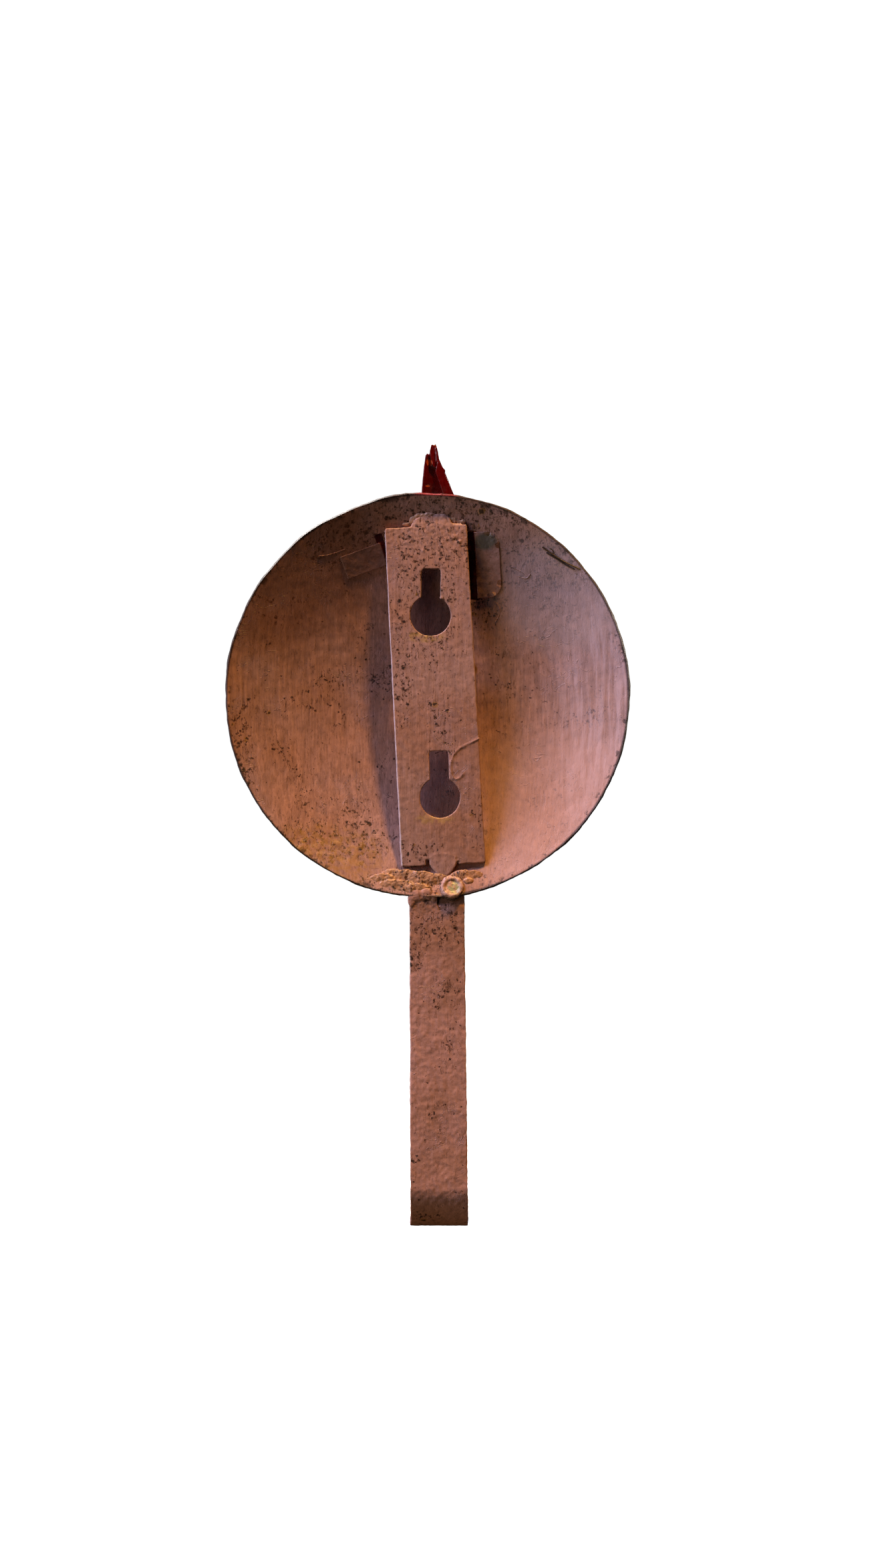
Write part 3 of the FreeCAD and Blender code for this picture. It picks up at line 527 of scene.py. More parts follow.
def speckled(finish, tone, dusty, dirt):
    """Ragged dark specks of three sizes, each in a browner ring, more of them where it is dusty."""
    ragged = finish.warped(0.7 * MM, 1.5 * MM)
    spots = []
    for size, share, low in ((0.8 * MM, 0.34, 0.52), (1.6 * MM, 0.26, 0.56), (4.2 * MM, 0.15, 0.55)):
        dots = finish.cells(size, ragged)
        chance = finish.sum(finish.noise(1.7 * size, detail=1.0), finish.times(dusty, 0.20))
        radius = finish.times(finish.ramp(chance, low + 0.06, low + 0.30, 0.0, share), dirt)
        ring = finish.math("LESS_THAN", dots, finish.times(radius, 1.55))
        spot = finish.math("LESS_THAN", dots, radius)
        tone = finish.mix(finish.times(ring, 0.55), tone, OCHRE if size > 2 * MM else UMBER)
        tone = finish.mix(finish.times(spot, 0.85), tone, SOOT)
        spots.append(spot)
    return tone, spots


def drifts_and_painted_light(finish, tone, streaks, soft):
    """Painted shade, painted sheen and painted light on the dish's hollow side, with the ochre grime and grey
    patch that lie in drifts there.
    """
    sheen_streaks = finish.ramp(streaks, 0.35, 0.65, 0.22, 0.66)
    flecked = finish.times(finish.ramp(soft, 0.38, 0.6), 0.6)
    for x, z, wide, high, ragged, share, colour in (
        # Painted shade: the upper left of the hollow side darker and browner.
        (40, 36, 32, 26, 0.1, 0.54, PAINTED_SHADE_BROWN),
        # Painted sheen: pale streaks towards the right edge of the hollow side.
        (-54, -8, 24, 46, 0.1, sheen_streaks, PAINTED_SHEEN),
        # Painted light: the upper right paler.
        (-34, 26, 18, 16, 0.1, 0.42, PAINTED_LIGHT_ROSE),
        # Painted shadow: two dark patches behind the hanger plate, where the keyholes show the dish.
        (-0.6, 22, 7, 11, 0.1, 0.5, PAINTED_SHADOW_PLUM),
        (-2.6, -23, 7, 9, 0.1, 0.5, PAINTED_SHADOW_PLUM),
        # Painted light: the lower right paler and pinker.
        (-32, -30, 26, 24, 0.1, 0.45, PAINTED_LIGHT_BLUSH),
        (28, -40, 20, 8, 0.2, flecked, OCHRE),
        (-15, 38, 3.4, 2.4, 0.3, 0.5, SLATE),
    ):
        tone = finish.mix(finish.times(finish.near(x, z, wide, high, ragged), share), tone, colour)
    return tone


def ahead_of_dish(finish, begin, full):
    """0 on the dish's hollow face, growing to 1 between two distances in front of it."""
    return finish.ramp(finish.distance((0, -SPHERE_Y, 0)), SPHERE_RADIUS + begin, SPHERE_RADIUS + full)


def glazed(finish, tone, front, patches, soft, smears, spots):
    """The lighter paint of the dish's viewing side, thin where it is scuffed."""
    scuffs = finish.ramp(finish.noise(4 * MM, detail=6.0, roughness=0.7), 0.60, 0.68)
    cover = finish.times(ahead_of_dish(finish, 0.45 * MM, 0.6 * MM), finish.ramp(scuffs, 0.0, 1.0, 1.0, 0.25))
    pits = finish.math("MAXIMUM", finish.math("MAXIMUM", spots[0], spots[1]), spots[2])
    glaze = finish.tint(front, patches, 0.3, 0.7, 0.86, 1.03)
    glaze = finish.tint(glaze, soft, 0.35, 0.65, 0.95, 1.02)
    glaze = finish.mix(finish.times(smears, 0.5), glaze, OCHRE)
    glaze = finish.mix(finish.times(pits, 0.8), glaze, UMBER)
    return finish.mix(cover, tone, glaze)


def rimmed(finish, tone):
    """The dish's edge, darkened all round and red for a little way at the top, and the chips beside it."""
    out = finish.distance(scale=(1, 0, 1))
    edge = finish.ramp(out, DISC_RADIUS - 0.55 * MM, DISC_RADIUS - 0.05 * MM)
    tone = finish.mix(finish.times(edge, 0.86), tone, DARK_EDGE)
    flush = finish.times(edge, finish.near(-2.2, 50, 5.5, 1.2, 0.1))
    tone = finish.mix(finish.times(flush, 0.85), tone, CRIMSON)
    beside = finish.ramp(out, DISC_RADIUS - 1.6 * MM, DISC_RADIUS - 0.6 * MM)
    chips = finish.times(beside, finish.ramp(finish.noise(1.9 * MM, detail=4.0), 0.57, 0.61))
    return finish.mix(finish.times(chips, 0.7), tone, SOOT)


def painted_edge_highlight(finish, tone, soft, lean, highlight_at):
    """Painted highlight: a pale line along the hanger plate's edge, and two straw-coloured patches of painted
    highlight on the keyholes' lower rims.
    """
    across = finish.sum(finish.part("X"), finish.times(finish.part("Z"), -math.tan(lean)))
    across = finish.sum(across, finish.times(finish.noise(2 * MM, detail=3.0), 0.5 * MM))
    # Painted highlight: a thin pale line along the plate's edge.
    edge = finish.ramp(across, highlight_at - 0.30 * MM, highlight_at)
    tone = finish.mix(finish.times(edge, 0.75), tone, PAINTED_HIGHLIGHT_PINK)
    # Painted highlight: two straw-coloured patches on the keyholes' lower rims.
    for x, z in ((0.6, 14.6), (-1.9, -30.7)):
        lit_rim = finish.times(finish.near(x, z, 5.0, 1.5, 0.2), finish.ramp(soft, 0.42, 0.56))
        tone = finish.mix(finish.times(lit_rim, 0.5), tone, PAINTED_HIGHLIGHT_STRAW)
    return tone


def enamel(name, base, band=None, chips=()):
    """Glossy signal red in lighter and deeper patches, with brush marks, chips and the arm's cream band."""
    finish = Finish(name)
    patches = finish.noise(7 * MM, detail=3.0)
    wear = finish.noise(1.6 * MM, detail=6.0, roughness=0.7)
    brushed = finish.brushed(0.6 * MM, 8 * MM)
    tone = finish.mix(finish.ramp(patches, 0.35, 0.7), base, tuple(0.6 * c for c in base[:3]) + (1,))
    tone = finish.tint(tone, brushed, 0.3, 0.7, 0.85, 1.12)
    worn = finish.ramp(wear, 0.66, 0.76, 0.0, 0.6)
    for x, z, wide, high in chips:
        worn = finish.math("MAXIMUM", worn, finish.near(x, z, wide, high, 0.4))
    tone = finish.mix(worn, tone, shade(0.80, 0.33, 0.20))
    if band:
        low, high = band
        up = finish.sum(finish.part("Z"), finish.times(finish.noise(1.2 * MM), 0.3 * MM))
        inside = finish.times(finish.math("GREATER_THAN", up, low), finish.math("LESS_THAN", up, high),
                              finish.math("LESS_THAN", finish.part("Y"), BLADE_FRONT + 0.2 * MM))
        cream = finish.tint(shade(0.86, 0.84, 0.76), patches, 0.3, 0.7, 0.85, 1.02)
        tone = finish.mix(finish.times(inside, finish.ramp(worn, 0.0, 0.5, 1.0, 0.1)), tone, cream)
    finish.colour(tone)
    finish.rough(finish.ramp(wear, 0.35, 0.8, 0.16, 0.5))
    height = finish.sum(finish.times(patches, 0.7), finish.times(wear, 0.25), finish.times(brushed, 0.2),
                        finish.times(worn, -0.4))
    finish.relief(height, 0.14 * MM, 0.9)
    return finish.set(Specular_IOR_Level=0.35, Coat_Weight=0.2, Coat_Roughness=0.12)


def metal(name, base, dull, roughness):
    """Bare or plated metal with fine turning marks, tarnish and grime."""
    finish = Finish(name)
    tarnish = finish.noise(2.5 * MM, detail=5.0, roughness=0.65)
    marks = finish.noise(1.0, detail=3.0, place=finish.stretched(MARK_WIDTH, 4 * MARK_WIDTH, MARK_WIDTH))
    grime = finish.ramp(finish.noise(1.1 * MM, detail=5.0, roughness=0.7), 0.58, 0.72, 0.0, 0.7)
    tone = finish.mix(finish.ramp(tarnish, 0.4, 0.68), base, dull)
    finish.colour(finish.mix(grime, tone, UMBER))
    wear = finish.ramp(finish.sum(tarnish, marks), 0.7, 1.3, roughness * 0.75, roughness * 1.35)
    finish.rough(finish.sum(wear, finish.times(grime, 0.25)))
    finish.relief(finish.sum(marks, tarnish, finish.times(grime, 0.5)), 0.03 * MM, 0.7)
    return finish.set(Metallic=1.0)


# Where grime gathers: x, z, width and height of each patch, in millimetres.
DISC_GRIME = (
    (18, 37, 14, 8), (-6, 45, 22, 5), (-30, 33, 14, 9), (24, -36, 16, 7), (46, -16, 3, 16), (4, -46, 16, 3.5),
    (-14, 30, 6, 14),
)
PLATE_GRIME = ((4, 32, 5, 12), (-6, 36, 9, 6), (6, 10, 3, 20), (4, -39, 6, 3), (0, 26, 9, 22))
POST_GRIME = ((-3, -57, 8, 6), (3, -62, 3, 8))
LUMP_GRIME = ((0, -46, 12, 6),)

DISC_PAINT = primer("disc_primer", ROSE, RUST, MAUVE, grimy=DISC_GRIME, front=CREAM)
PLATE_PAINT = primer("hanger_primer", shade(0.725, 0.545, 0.495), RUST, MAUVE, PLATE_LEAN, peel=0.5,
                     strokes=0.7, grimy=PLATE_GRIME, highlight_at=8.75 * MM)
POST_PAINT = primer("post_primer", shade(0.79, 0.57, 0.51), RUST, shade(0.77, 0.56, 0.52), peel=0.6,
                    dirt=0.9, strokes=0.4, grimy=POST_GRIME)
LUMP_PAINT = primer("solder_primer", shade(0.74, 0.54, 0.41), shade(0.75, 0.52, 0.35), ROSE, peel=1.8,
                    strokes=0.3, grimy=LUMP_GRIME)
RED = enamel("signal_red", shade(0.40, 0.010, 0.006), band=(30 * MM, 37 * MM),
             chips=((-0.1, 58.6, 0.45, 0.9), (-0.9, 58.3, 0.4, 0.8), (-0.1, 52.6, 0.6, 0.3)))
HUB_RED = enamel("hub_red", shade(0.42, 0.012, 0.008))
ZINC = metal("zinc_plate", shade(0.80, 0.79, 0.76), shade(0.60, 0.58, 0.53), 0.38)
BRASS = metal("old_brass", shade(0.78, 0.66, 0.42), shade(0.50, 0.38, 0.22), 0.34)
SPRING = metal("spring_steel", shade(0.40, 0.41, 0.45), shade(0.28, 0.24, 0.22), 0.32)


def rivet_finish():
    """Primer over the clinched ring, dull brass where the rivet's hollow is left bare."""
    finish = Finish("rivet_ring")
    soft = finish.noise(1.1 * MM, detail=4.0)
    fine = finish.noise(0.3 * MM, detail=3.0)
    bare = finish.near(*RIVET_BARE, 1.75, 1.75, 0.1)
    paint = finish.tint(shade(0.76, 0.57, 0.50), soft, 0.3, 0.7, 0.8, 1.08)
    paint = finish.mix(finish.ramp(finish.noise(0.8 * MM, detail=4.0), 0.58, 0.66, 0.0, 0.7), paint, UMBER)
    brass = finish.mix(finish.ramp(soft, 0.42, 0.6), shade(0.66, 0.62, 0.44), shade(0.74, 0.55, 0.42))
    finish.colour(finish.mix(bare, paint, brass))
    finish.rough(finish.ramp(soft, 0.3, 0.7, 0.34, 0.5))
    finish.relief(finish.sum(finish.times(soft, 1.0), finish.times(fine, 0.2)), 0.12 * MM, 0.9)
    return finish.set(Specular_IOR_Level=0.5)


def finish_piece(piece, material, body, slot, *nodes):
    """Gives a piece its material and the body it rides on, and hides the nodes it stands in for. The slot is
    not used.
    """
    piece.data.materials.clear()
    piece.data.materials.append(material)
    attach(piece, body)
    if nodes:
        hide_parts(*nodes)
    return piece


# ---------------------------------------------------------------- sighting disc

def spun_dish():
    """A thin skin: an arc of the sphere cut out of a circle, then spun round the dish's axis."""
    dish = add(bpy.ops.mesh.primitive_circle_add, "dish", vertices=SPHERE_STEPS, radius=SPHERE_RADIUS,
               location=(0, SPHERE_Y, 0))
    settle(dish)
    edit(dish, "VERT")
    for plane, side in (
        ((-1e-7, 0, 0), (-1, 0, 0)), ((DISC_RADIUS, 0, 0), (1, 0, 0)), ((0, SPHERE_Y, 0), (0, 1, 0)),
    ):
        bpy.ops.mesh.select_all(action="SELECT")
        bpy.ops.mesh.bisect(plane_co=plane, plane_no=side, clear_outer=True)
    bpy.ops.mesh.select_all(action="SELECT")
    bpy.ops.mesh.spin(steps=DISH_STEPS, angle=2 * math.pi, center=(0, 0, 0), axis=(0, 1, 0))
    bpy.ops.mesh.select_all(action="SELECT")
    bpy.ops.mesh.remove_doubles(threshold=1e-6)
    bpy.ops.mesh.normals_make_consistent(inside=False)
    leave()
    if dish.data.polygons[len(dish.data.polygons) // 2].normal.y < 0:
        dish.data.flip_normals()
    return dish


def dish_slots():
    """Cutters for the two slots that the upright stop's tabs come through, sizes in millimetres."""
    slots = []
    for name, x, z, half_wide, half_high, degrees in (
        ("wide_slot", -11.5, 32.4, 1.4, 8.5, 3.0),
        ("narrow_slot", 11.0, 36.3, 1.0, 4.2, 20.0),
    ):
        slot = add(bpy.ops.mesh.primitive_cube_add, name, size=1.0, location=at(x, -6, z),
                   rotation=(0, math.radians(degrees), 0))
        slot.scale = at(2 * half_wide, 16, 2 * half_high)
        work(settle(slot), "BEVEL", width=0.5 * MM, segments=3, limit_method="ANGLE")
        slots.append(slot)
    return slots


def rivet_ear():
    """Small round ear of the sheet under the rivet, which reaches a little past the rim."""
    ear = add(bpy.ops.mesh.primitive_cylinder_add, "ear", vertices=48, radius=3.2 * MM, depth=1.1 * MM,
              location=on_dish(*EAR_PLACE, -0.45), rotation=RIVET_TURN)
    edit(ear, "FACE")
    bpy.ops.mesh.select_all(action="SELECT")
    bpy.ops.mesh.subdivide(number_cuts=3)
    leave()
    return work(settle(ear), "BEVEL", width=0.25 * MM, segments=3, limit_method="ANGLE")


def towards_rim(begin, span):
    """A weight that grows from 0, at a share of the dish's radius, to 1 at the end of a span."""
    return lambda co: max(0.0, (math.hypot(co.x, co.z) / DISC_RADIUS - begin) / span)


def sighting_disc():
    """The dish: spun, given its sheet, slotted, eared, then beaten a little out of true."""
    dish = work(spun_dish(), "SOLIDIFY", thickness=DISC_SHEET, offset=-1.0, use_even_offset=True)
    cut(dish, *dish_slots())
    dish = join([dish, rivet_ear()])
    rim = weigh(dish, "rim", towards_rim(0.75, 0.25))
    push(dish, lumps("hand_cut_x", 15 * MM), 0.9 * MM, "X", rim)
    push(dish, lumps("hand_cut_z", 12 * MM), 0.9 * MM, "Z", rim)
    nicks = weigh(dish, "nicks", towards_rim(0.97, 0.03))
    push(dish, lumps("rim_nicks", 1.6 * MM), 0.35 * MM, "NORMAL", nicks)
    push(dish, lumps("beaten", 11 * MM), 0.30 * MM, "Y")
    push(dish, lumps("thick_paint", 2.2 * MM, 3), 0.16 * MM)
    thick = weigh(dish, "clotted", lambda co: clotted(co.x / MM, co.z / MM))
    push(dish, lumps("clots", 1.1 * MM, 3), 0.75 * MM, "Y", thick)
    return smooth(dish, 70)


def clotted(x, z):
    """How thickly the paint lies in lumps: at the hanger plate's two ends, and beside the lower one."""
    low = max(0.0, 1.0 - math.hypot((x - 2.0) / 14.0, (z + 47.5) / 5.0))
    left = 0.6 * max(0.0, 1.0 - math.hypot((x - 26.0) / 16.0, (z + 38.0) / 7.0))
    high = 0.5 * max(0.0, 1.0 - math.hypot((x + 9.0) / 9.0, (z - 44.5) / 4.0))
    return min(1.0, 2.2 * max(low, left, high))


finish_piece(sighting_disc(), DISC_PAINT, "signal", "primer_paint", "sighting_disc")


# ---------------------------------------------------------------- hanger plate

def hanger_plate():
    """The plate, its tongues and the paint that ran down it, in one skin."""
    plate = likeness("hanger_plate", "keyhole_plate")
    lug = traced("lug", (
        (4.4, 41.3), (3.3, 43.7), (1.4, 44.7), (-0.8, 44.8), (-1.9, 44.0), (-3.4, 43.9), (-4.4, 43.2),
        (-6.6, 42.7), (-8.4, 42.9), (-9.4, 41.4), (-6.0, 40.6), (0.0, 40.6),
    ), y=-1.15, thickness=1.0)
    heart = traced("heart", (
        (-0.6, -40.3), (-1.2, -41.8), (-1.9, -43.4), (-2.5, -44.9), (-2.9, -46.0), (-3.8, -45.6),
        (-4.9, -44.9), (-6.1, -43.8), (-6.9, -42.6), (-7.5, -41.2), (-7.2, -39.9), (-5.6, -39.2),
        (-3.4, -39.0), (-1.6, -39.4),
    ), y=-1.5, thickness=1.60)
    work(plate, "BEVEL", width=0.01 * MM, segments=1, limit_method="ANGLE")
    sag = strand("sag", [at(x, -0.02, z) for x, z in (
        (-13.1, -10.6), (-10.4, -11.9), (-8.4, -12.8), (-6.7, -14.4), (-5.9, -16.2),
        (-5.7, -18.3), (-6.2, -20.4), (-7.2, -20.9), (-8.3, -20.4), (-9.0, -19.2),
    )], radius=0.22 * MM)
    beads = []
    for number, (x, z, radius) in enumerate((
        (-3.6, 24.2, 0.45), (-4.0, 26.6, 0.3), (-9.2, -12.6, 0.45),
        (1.0, 36.0, 0.4), (-6.3, 39.4, 0.7), (-7.9, 38.2, 0.4),
    )):
        beads.append(blob(f"bead_{number}", at(x, -0.05, z), at(radius * 1.3, 0.22, radius)))
    plate = join([plate, lug, heart, sag, *beads])
    cast(plate, grain=0.27 * MM, rounds=3)
    crust = weigh(plate, "crust", lambda co: max(0.15, min(1.0, (co.z / MM - 32) / 6)))
    push(plate, lumps("plate_crust", 0.8 * MM, 3), 0.26 * MM, "NORMAL", crust)
    push(plate, lumps("plate_waves", 6 * MM), 0.22 * MM, "X")
    push(plate, lumps("plate_paint", 1.7 * MM, 3), 0.13 * MM)
    return smooth(plate, 70)


finish_piece(hanger_plate(), PLATE_PAINT, "signal", "hanger_paint", "hanger_plate")


def lump_of(name, *parts, rough=1.0):
    """One rough lump made of several smaller pieces."""
    lump = join(list(parts))
    lump.name = lump.data.name = name
    cast(lump, LUMP_GRAIN, rounds=2)
    push(lump, lumps(name + "_swell", 1.3 * MM, 2), 0.42 * MM * rough)
    push(lump, lumps(name + "_skin", 0.55 * MM, 3), 0.34 * MM * rough)
    return smooth(lump, 80)


def top_solder():
    """Low lumps that bed the upper tongue on the dish, all along it."""
    parts = []
    for number, (x, z, wide, high, lift) in enumerate((
        (3.2, 43.6, 1.5, 1.1, -0.1), (1.6, 44.7, 1.6, 0.9, -0.1), (-0.6, 44.9, 1.5, 0.8, -0.1),
        (-3.4, 44.2, 1.6, 0.9, -0.1), (-6.0, 43.6, 2.0, 1.0, -0.15), (-8.6, 43.2, 1.4, 0.9, -0.2),
        (5.0, 42.6, 1.4, 0.6, -0.2),
    )):
        parts.append(blob(f"top_{number}", on_dish(x, z, lift), at(wide, 0.55, high)))
    return lump_of("upper_lumps", *parts)


def bottom_solder():
    """Solder and clotted paint that fill the corner between the plate's lower end and the rim."""
    parts = []
    for number, (x, z, wide, high, thick) in enumerate((
        (5.4, -45.6, 4.8, 2.4, 0.40), (1.4, -46.4, 4.6, 2.8, 0.50), (-2.6, -46.2, 3.4, 2.0, 0.42),
        (-8.9, -45.2, 3.4, 1.9, 0.40), (3.4, -48.2, 4.6, 1.7, 0.45), (8.6, -44.6, 3.0, 1.6, 0.35),
        (11.2, -45.8, 3.4, 1.6, 0.26), (7.8, -47.4, 5.0, 1.7, 0.30), (-11.6, -45.0, 2.6, 1.6, 0.24),
        (-6.3, -44.7, 2.4, 0.9, 0.3), (-10.2, -46.2, 1.4, 0.9, 0.3),
    )):
        parts.append(blob(f"low_{number}", on_dish(x, z), at(wide, thick, high)))
    return lump_of("lower_lumps", *parts, rough=0.8)


finish_piece(top_solder(), LUMP_PAINT, "signal", "painted_solder", "hanger_top_solder")
finish_piece(bottom_solder(), LUMP_PAINT, "signal", "painted_solder", "hanger_bottom_solder")


# ---------------------------------------------------------------- post

def post_strap():
    """The strap, with edges that wander under thick paint."""
    strap = cast(likeness("post_strap", "strap"), grain=0.28 * MM, rounds=3)
    push(strap, lumps("strap_edge", 5 * MM, 2), 0.42 * MM, "X")
    push(strap, lumps("strap_runs", 3.2 * MM, 2), 0.16 * MM, "Y")
    push(strap, lumps("strap_peel", 1.1 * MM, 2), 0.17 * MM)
    return smooth(strap, 80)


def post_fillet():
    """Paint and filler that run from the rim down onto the strap in one long slope, beside the rivet."""
    slope = traced("slope", (
        (4.6, -48.2), (4.4, -51.0), (4.3, -67.0), (-8.4, -67.0), (-7.4, -60.0), (-3.9, -55.0),
        (-2.6, -52.0), (-2.2, -48.6),
    ), y=3.7, thickness=1.2)
    slope.rotation_euler = (FILLER_SLOPE, 0, 0)
    settle(slope)
    parts = [slope]
    for number, (x, z, wide, high, thick) in enumerate((
        (2.6, -49.6, 1.8, 1.6, 0.42), (0.2, -49.4, 2.0, 1.6, 0.46),
        (3.9, -50.6, 1.0, 2.0, 0.35), (-1.6, -50.0, 1.0, 1.2, 0.35),
    )):
        parts.append(blob(f"fill_{number}", at(x, 0.95, z), at(wide, thick, high)))
    return lump_of("rim_filler", *parts, rough=0.45)


def rivet():
    """The clinched rivet: a ring thick with paint round a shallow bare hollow."""
    head = likeness("post_rivet", "clinched_rivet")
    ring = add(bpy.ops.mesh.primitive_torus_add, "ring", major_segments=64, minor_segments=16,
               major_radius=2.28 * MM, minor_radius=0.66 * MM, location=on_dish(*RIVET_PLACE, 0.12),
               rotation=RIVET_TURN)
    hollow = add(bpy.ops.mesh.primitive_cylinder_add, "hollow", vertices=48, radius=2.2 * MM,
                 depth=0.6 * MM, location=on_dish(*RIVET_HOLLOW, 0.06), rotation=RIVET_TURN)
    head = join([head, settle(ring), settle(hollow)])
    cast(head, grain=0.12 * MM, rounds=4)
    push(head, lumps("rivet_paint", 1.5 * MM), 0.42 * MM)
    return smooth(head, 70)


finish_piece(post_strap(), POST_PAINT, "signal", "post_paint", "post_strap")
finish_piece(post_fillet(), POST_PAINT, "signal", "painted_solder", "post_solder")
finish_piece(rivet(), rivet_finish(), "signal", "rivet_brass", "post_rivet")


# ---------------------------------------------------------------- upright stop

def upright_stop():
    """The stop's two tabs and the strip that joins them in front of the dish."""
    stop = cast(likeness("upright_stop", "stop_tabs"), grain=0.16 * MM, rounds=3)
    push(stop, lumps("stop_waves", 3 * MM), 0.22 * MM, "Y")
    push(stop, lumps("stop_paint", 1.2 * MM, 3), 0.12 * MM)
    return smooth(stop, 80)


def stop_finish():
    """Primer on the tabs, with painted shade on the narrow tab at the upper left, and the arm's dark red on
    the strip in front of the dish.
    """
    finish = Finish("stop_paint")
    soft = finish.noise(1.6 * MM, detail=4.0)
    ticks = finish.noise(0.7 * MM, detail=5.0, roughness=0.7)
    ahead = ahead_of_dish(finish, 0.15 * MM, 0.4 * MM)
    tab = finish.tint(ROSE, soft, 0.3, 0.7, 0.82, 1.06)
    tab = finish.mix(finish.ramp(ticks, 0.56, 0.66, 0.0, 0.6), tab, UMBER)
    tab = finish.mix(finish.near(-14.5, 38.4, 3.0, 2.4, 0.3), tab, SLATE)
    # Painted shade: the narrow tab darkened like the dish's upper left.
    tab = finish.mix(finish.times(finish.near(20, 36, 12, 9, 0.1), 0.7), tab, shade(0.40, 0.25, 0.18))
    strip = finish.tint(shade(0.33, 0.03, 0.03), soft, 0.3, 0.7, 0.6, 1.1)
    finish.colour(finish.mix(ahead, tab, strip))
    finish.rough(finish.ramp(soft, 0.3, 0.7, 0.32, 0.5))
    finish.relief(finish.sum(soft, finish.times(ticks, 0.4)), 0.12 * MM, 0.9)
    return finish.set(Specular_IOR_Level=0.5)


finish_piece(upright_stop(), stop_finish(), "signal", "stop_paint", "upright_stop")


# ---------------------------------------------------------------- paint threads on the dish

def laid(name, line, lift, radius):
    """A strand laid on the dish through a few places, in millimetres."""
    return strand(name, [on_dish(x, z, lift) for x, z in line], radius * MM)


def threads():
    """A brush bristle and thin paint ridges caught in the dish."""
    bristle = [laid(name, line, lift, radius) for name, lift, radius, line in (
        ("bristle", 0.12, 0.20, ((-28.6, 36.9), (-31.0, 35.2), (-34.0, 33.2), (-37.9, 31.4))),
        ("bristle_two", 0.16, 0.16, ((-29.6, 35.5), (-31.8, 34.2), (-34.6, 32.3), (-36.6, 31.3))),
        ("bristle_hook", 0.10, 0.10, ((-30.4, 36.6), (-31.4, 36.1), (-31.0, 34.9))),
    )]
    ridges = [laid(f"ridge_{number}", line, -0.02, 0.13) for number, line in enumerate((
        ((-20.8, 32.2), (-23.5, 31.0), (-25.0, 29.6)),
        ((-22.6, 29.8), (-24.6, 28.8), (-25.6, 30.2)),
        ((-14.9, 25.2), (-17.6, 23.2), (-18.3, 20.6), (-17.0, 18.4)),
        ((-16.2, 36.4), (-18.0, 37.2), (-19.6, 36.2)),
        ((20.5, 36.4), (24.0, 35.0), (27.2, 34.6)),
    ))]
    return join(bristle), join(ridges)


bristle_piece, ridge_piece = threads()
BRISTLE = primer("bristle_dark", shade(0.26, 0.18, 0.12), shade(0.20, 0.14, 0.10),
                 shade(0.30, 0.21, 0.13), dirt=0.6)
finish_piece(smooth(bristle_piece, 60), BRISTLE, "signal", "primer_paint")
finish_piece(smooth(ridge_piece, 60), DISC_PAINT, "signal", "primer_paint")


# ---------------------------------------------------------------- arm

def arm_blade():
    """Tray-shaped arrow: one edge is hemmed over towards the dish, and the tip is torn in two."""
    blade = likeness("arm_blade", "arrow")
    edit(blade, "VERT")
    bpy.ops.mesh.select_all(action="SELECT")
    bpy.ops.mesh.bisect(plane_co=at(0, 0, TRAY_TOP), plane_no=(0, 0, 1), clear_outer=True, use_fill=True)
    leave()
    back = BLADE_BACK / MM
    shelf = FLANGE_BACK / MM
    depth = (FLANGE_BACK - BLADE_BACK) / MM
    parts = [traced(name, points, y, thickness, TIP_RISE) for name, y, thickness, points in (
        ("hem", shelf - 0.55, 0.55, (
            (-12.4, 24.6), (-6.9, 49.2), (-5.2, 52.8), (-4.3, 55.2), (-4.45, 55.95), (-3.7, 56.8),
            (-2.9, 58.6), (-2.6, 58.0), (-2.35, 57.2), (-2.0, 55.5), (-3.1, 52.5), (-3.9, 49.9),
            (-7.0, 38.0), (-9.8, 26.0),
        )),
        ("hem_side", back - 0.1, depth, (
            (-12.5, 24.5), (-6.95, 49.2), (-5.3, 52.8), (-4.4, 55.2), (-4.5, 55.95), (-3.75, 56.8),
            (-2.95, 58.7), (-2.4, 61.7), (-2.0, 61.7), (-2.3, 58.2), (-3.2, 56.3), (-3.8, 55.4),
            (-6.2, 49.3), (-11.6, 25.0),
        )),
        ("tip", back - 0.8, 0.9, (
            (1.5, 49.6), (1.15, 53.9), (0.78, 57.2), (0.42, 59.7), (0.05, 60.25), (-0.25, 60.05),
            (-0.45, 59.7), (-0.75, 61.2), (-1.15, 62.5), (-1.6, 62.2), (-2.05, 62.6), (-2.35, 61.7),
            (-2.85, 58.7), (-4.4, 55.6), (-6.7, 49.6),
        )),
        ("edge_flange", back - 0.1, depth - 0.15, (
            (10.0, 24.3), (1.55, 49.5), (1.2, 53.9), (0.85, 57.2), (0.45, 59.7), (0.1, 60.2), (0.0, 59.6),
            (0.3, 57.0), (0.65, 53.7), (0.95, 49.4), (9.4, 24.3),
        )),
        ("lip", back + 0.1, 0.75, (
            (-1.0, 62.3), (-0.6, 60.8), (-0.9, 58.0), (-1.5, 56.8), (-2.1, 56.4), (-2.6, 58.4),
            (-2.4, 61.6), (-1.7, 62.2),
        )),
    )]
    blade = join([blade, *parts])
    cast(blade, grain=0.2 * MM, rounds=2, factor=0.4)
    push(blade, lumps("arm_waves", 4 * MM), 0.16 * MM, "Y")
    upper = weigh(blade, "upper", lambda co: 1.0 if co.z > UPPER_ARM else 0.0)
    push(blade, lumps("arm_edge", 2 * MM), 0.16 * MM, "X", upper)
    return smooth(blade, 55)


finish_piece(arm_blade(), RED, "arm", "signal_red", "arm_blade")

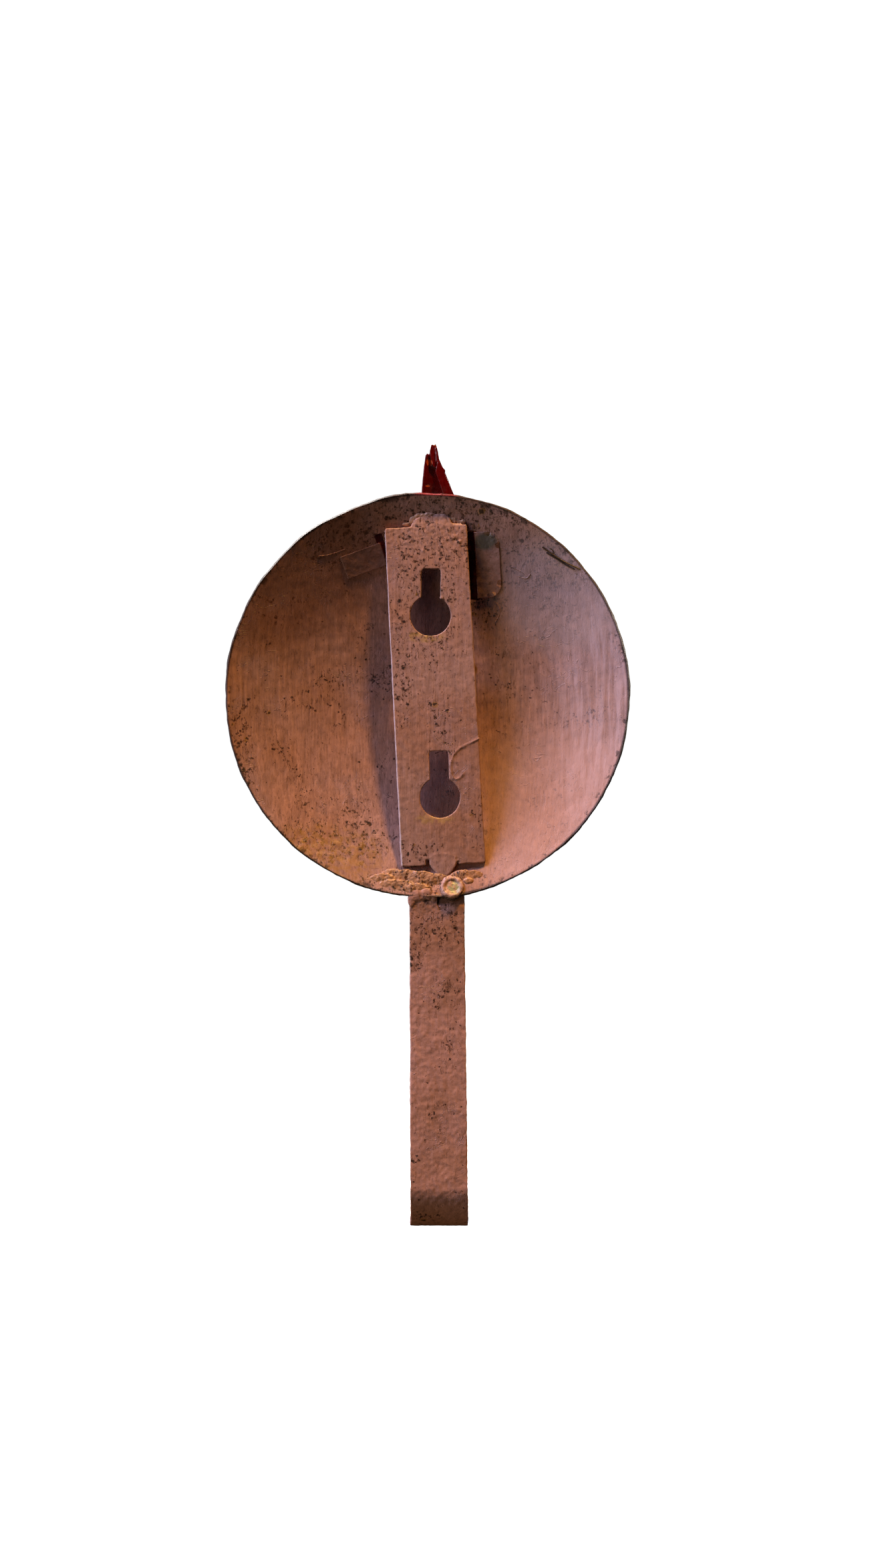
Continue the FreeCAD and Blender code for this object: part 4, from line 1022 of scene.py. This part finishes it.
# The turned and stamped small parts keep their own meshes and only get their finish.
for name, material in (
    ("pivot_screw", ZINC), ("pivot_seat", ZINC), ("front_washer", ZINC), ("back_washer", ZINC),
    ("pivot_nut", ZINC), ("level_stop_pin", ZINC), ("pivot_bush", BRASS), ("spring_washer", SPRING),
    ("lock_washer", SPRING), ("arm_hub_plate", HUB_RED), ("arm_rivets", HUB_RED),
):
    node = frame["nodes"][name]
    node.data.materials.clear()
    node.data.materials.append(material)


# ---------------------------------------------------------------- floor, light and camera

FLOOR_SIZE = 8.0
FLOOR_GAP = 0.2 * MM
FLOOR_GLOW = 1.2
BACKDROP_GLOW = 1.1
ROOM_FILL = 0.006


def pale_floor():
    """A white ground below the object, seen by the camera and lighting nothing."""
    floor = add(bpy.ops.mesh.primitive_plane_add, "floor", size=FLOOR_SIZE,
                location=(0, 0, cad_box[0].z - FLOOR_GAP))
    settle(floor)
    white = Finish("pale_floor")
    white.colour(shade(0.95, 0.95, 0.95))
    white.set(Roughness=0.9, Emission_Color=(1, 1, 1, 1), Emission_Strength=FLOOR_GLOW)
    floor.data.materials.append(white.material)
    floor.visible_diffuse = False
    floor.visible_glossy = False
    floor.visible_shadow = False


def panel(name, direction, distance, size, power, colour):
    """A round lamp that faces the object from a distance, in metres and watts."""
    light = bpy.data.lights.new(name, "AREA")
    light.shape = "DISK"
    light.size = size
    light.energy = power
    light.color = colour
    lamp = bpy.data.objects.new(name, light)
    bpy.context.scene.collection.objects.link(lamp)
    lamp.location = Vector(direction).normalized() * distance
    lamp.rotation_euler = (-Vector(direction)).to_track_quat("-Z", "Y").to_euler()


def room():
    """White where the camera looks past the object, and hardly any light from all round."""
    world = bpy.data.worlds.new("studio")
    world.use_nodes = True
    bpy.context.scene.world = world
    tree = world.node_tree
    seen = tree.nodes["Background"]
    seen.inputs["Color"].default_value = (1, 1, 1, 1)
    seen.inputs["Strength"].default_value = BACKDROP_GLOW
    fill = tree.nodes.new("ShaderNodeBackground")
    fill.inputs["Color"].default_value = (0.9, 0.93, 1.0, 1)
    fill.inputs["Strength"].default_value = ROOM_FILL
    chooser = tree.nodes.new("ShaderNodeMixShader")
    path = tree.nodes.new("ShaderNodeLightPath")
    tree.links.new(path.outputs["Is Camera Ray"], chooser.inputs[0])
    tree.links.new(fill.outputs[0], chooser.inputs[1])
    tree.links.new(seen.outputs[0], chooser.inputs[2])
    tree.links.new(chooser.outputs[0], tree.nodes["World Output"].inputs[0])


pale_floor()
panel("warm_key", (-0.74, 1.0, 3.6), 1.6, 0.16, 32.0, (1.0, 0.58, 0.14))
panel("cool_high", (2.5, 1.0, 3.0), 1.0, 0.4, 12.0, (0.60, 0.65, 0.98))
panel("low_warm", (1.2, 1.0, -1.2), 1.0, 0.3, 1.4, (1.0, 0.68, 0.30))
panel("edge_light", (3.0, 0.35, 0.5), 1.0, 0.3, 3.6, (0.85, 0.85, 1.0))
panel("sheen", (0.80, 1.0, 0.14), 1.0, 0.3, 0.6, (0.75, 0.85, 1.0))
panel("front_fill", (0.6, -1.0, 0.9), 1.6, 0.8, 16.0, (1.0, 0.98, 0.94))
panel("front_rim", (-1.2, -0.7, 0.3), 1.6, 0.6, 8.0, (1.0, 0.9, 0.8))
room()


# The camera looks at the wall side, straight on, from two metres.
VIEW_DISTANCE = 2.0
VIEW_HEIGHT_SPAN = 389.8 * MM
VIEW_CENTRE = Vector((-3.4 * MM, 0, -22.0 * MM))
SENSOR_WIDTH = 36.0


def camera():
    """The camera, with the span in its view set by its focal length."""
    lens = bpy.data.cameras.new("camera")
    lens.sensor_width = SENSOR_WIDTH
    lens.lens = lens.sensor_width * VIEW_DISTANCE / VIEW_HEIGHT_SPAN
    lens.clip_start = 0.1
    seer = bpy.data.objects.new("camera", lens)
    bpy.context.scene.collection.objects.link(seer)
    seer.location = VIEW_CENTRE + Vector((0, VIEW_DISTANCE, 0))
    seer.rotation_euler = (math.radians(90), 0, math.radians(180))
    bpy.context.scene.camera = seer


camera()
bpy.context.scene.view_settings.view_transform = "Standard"
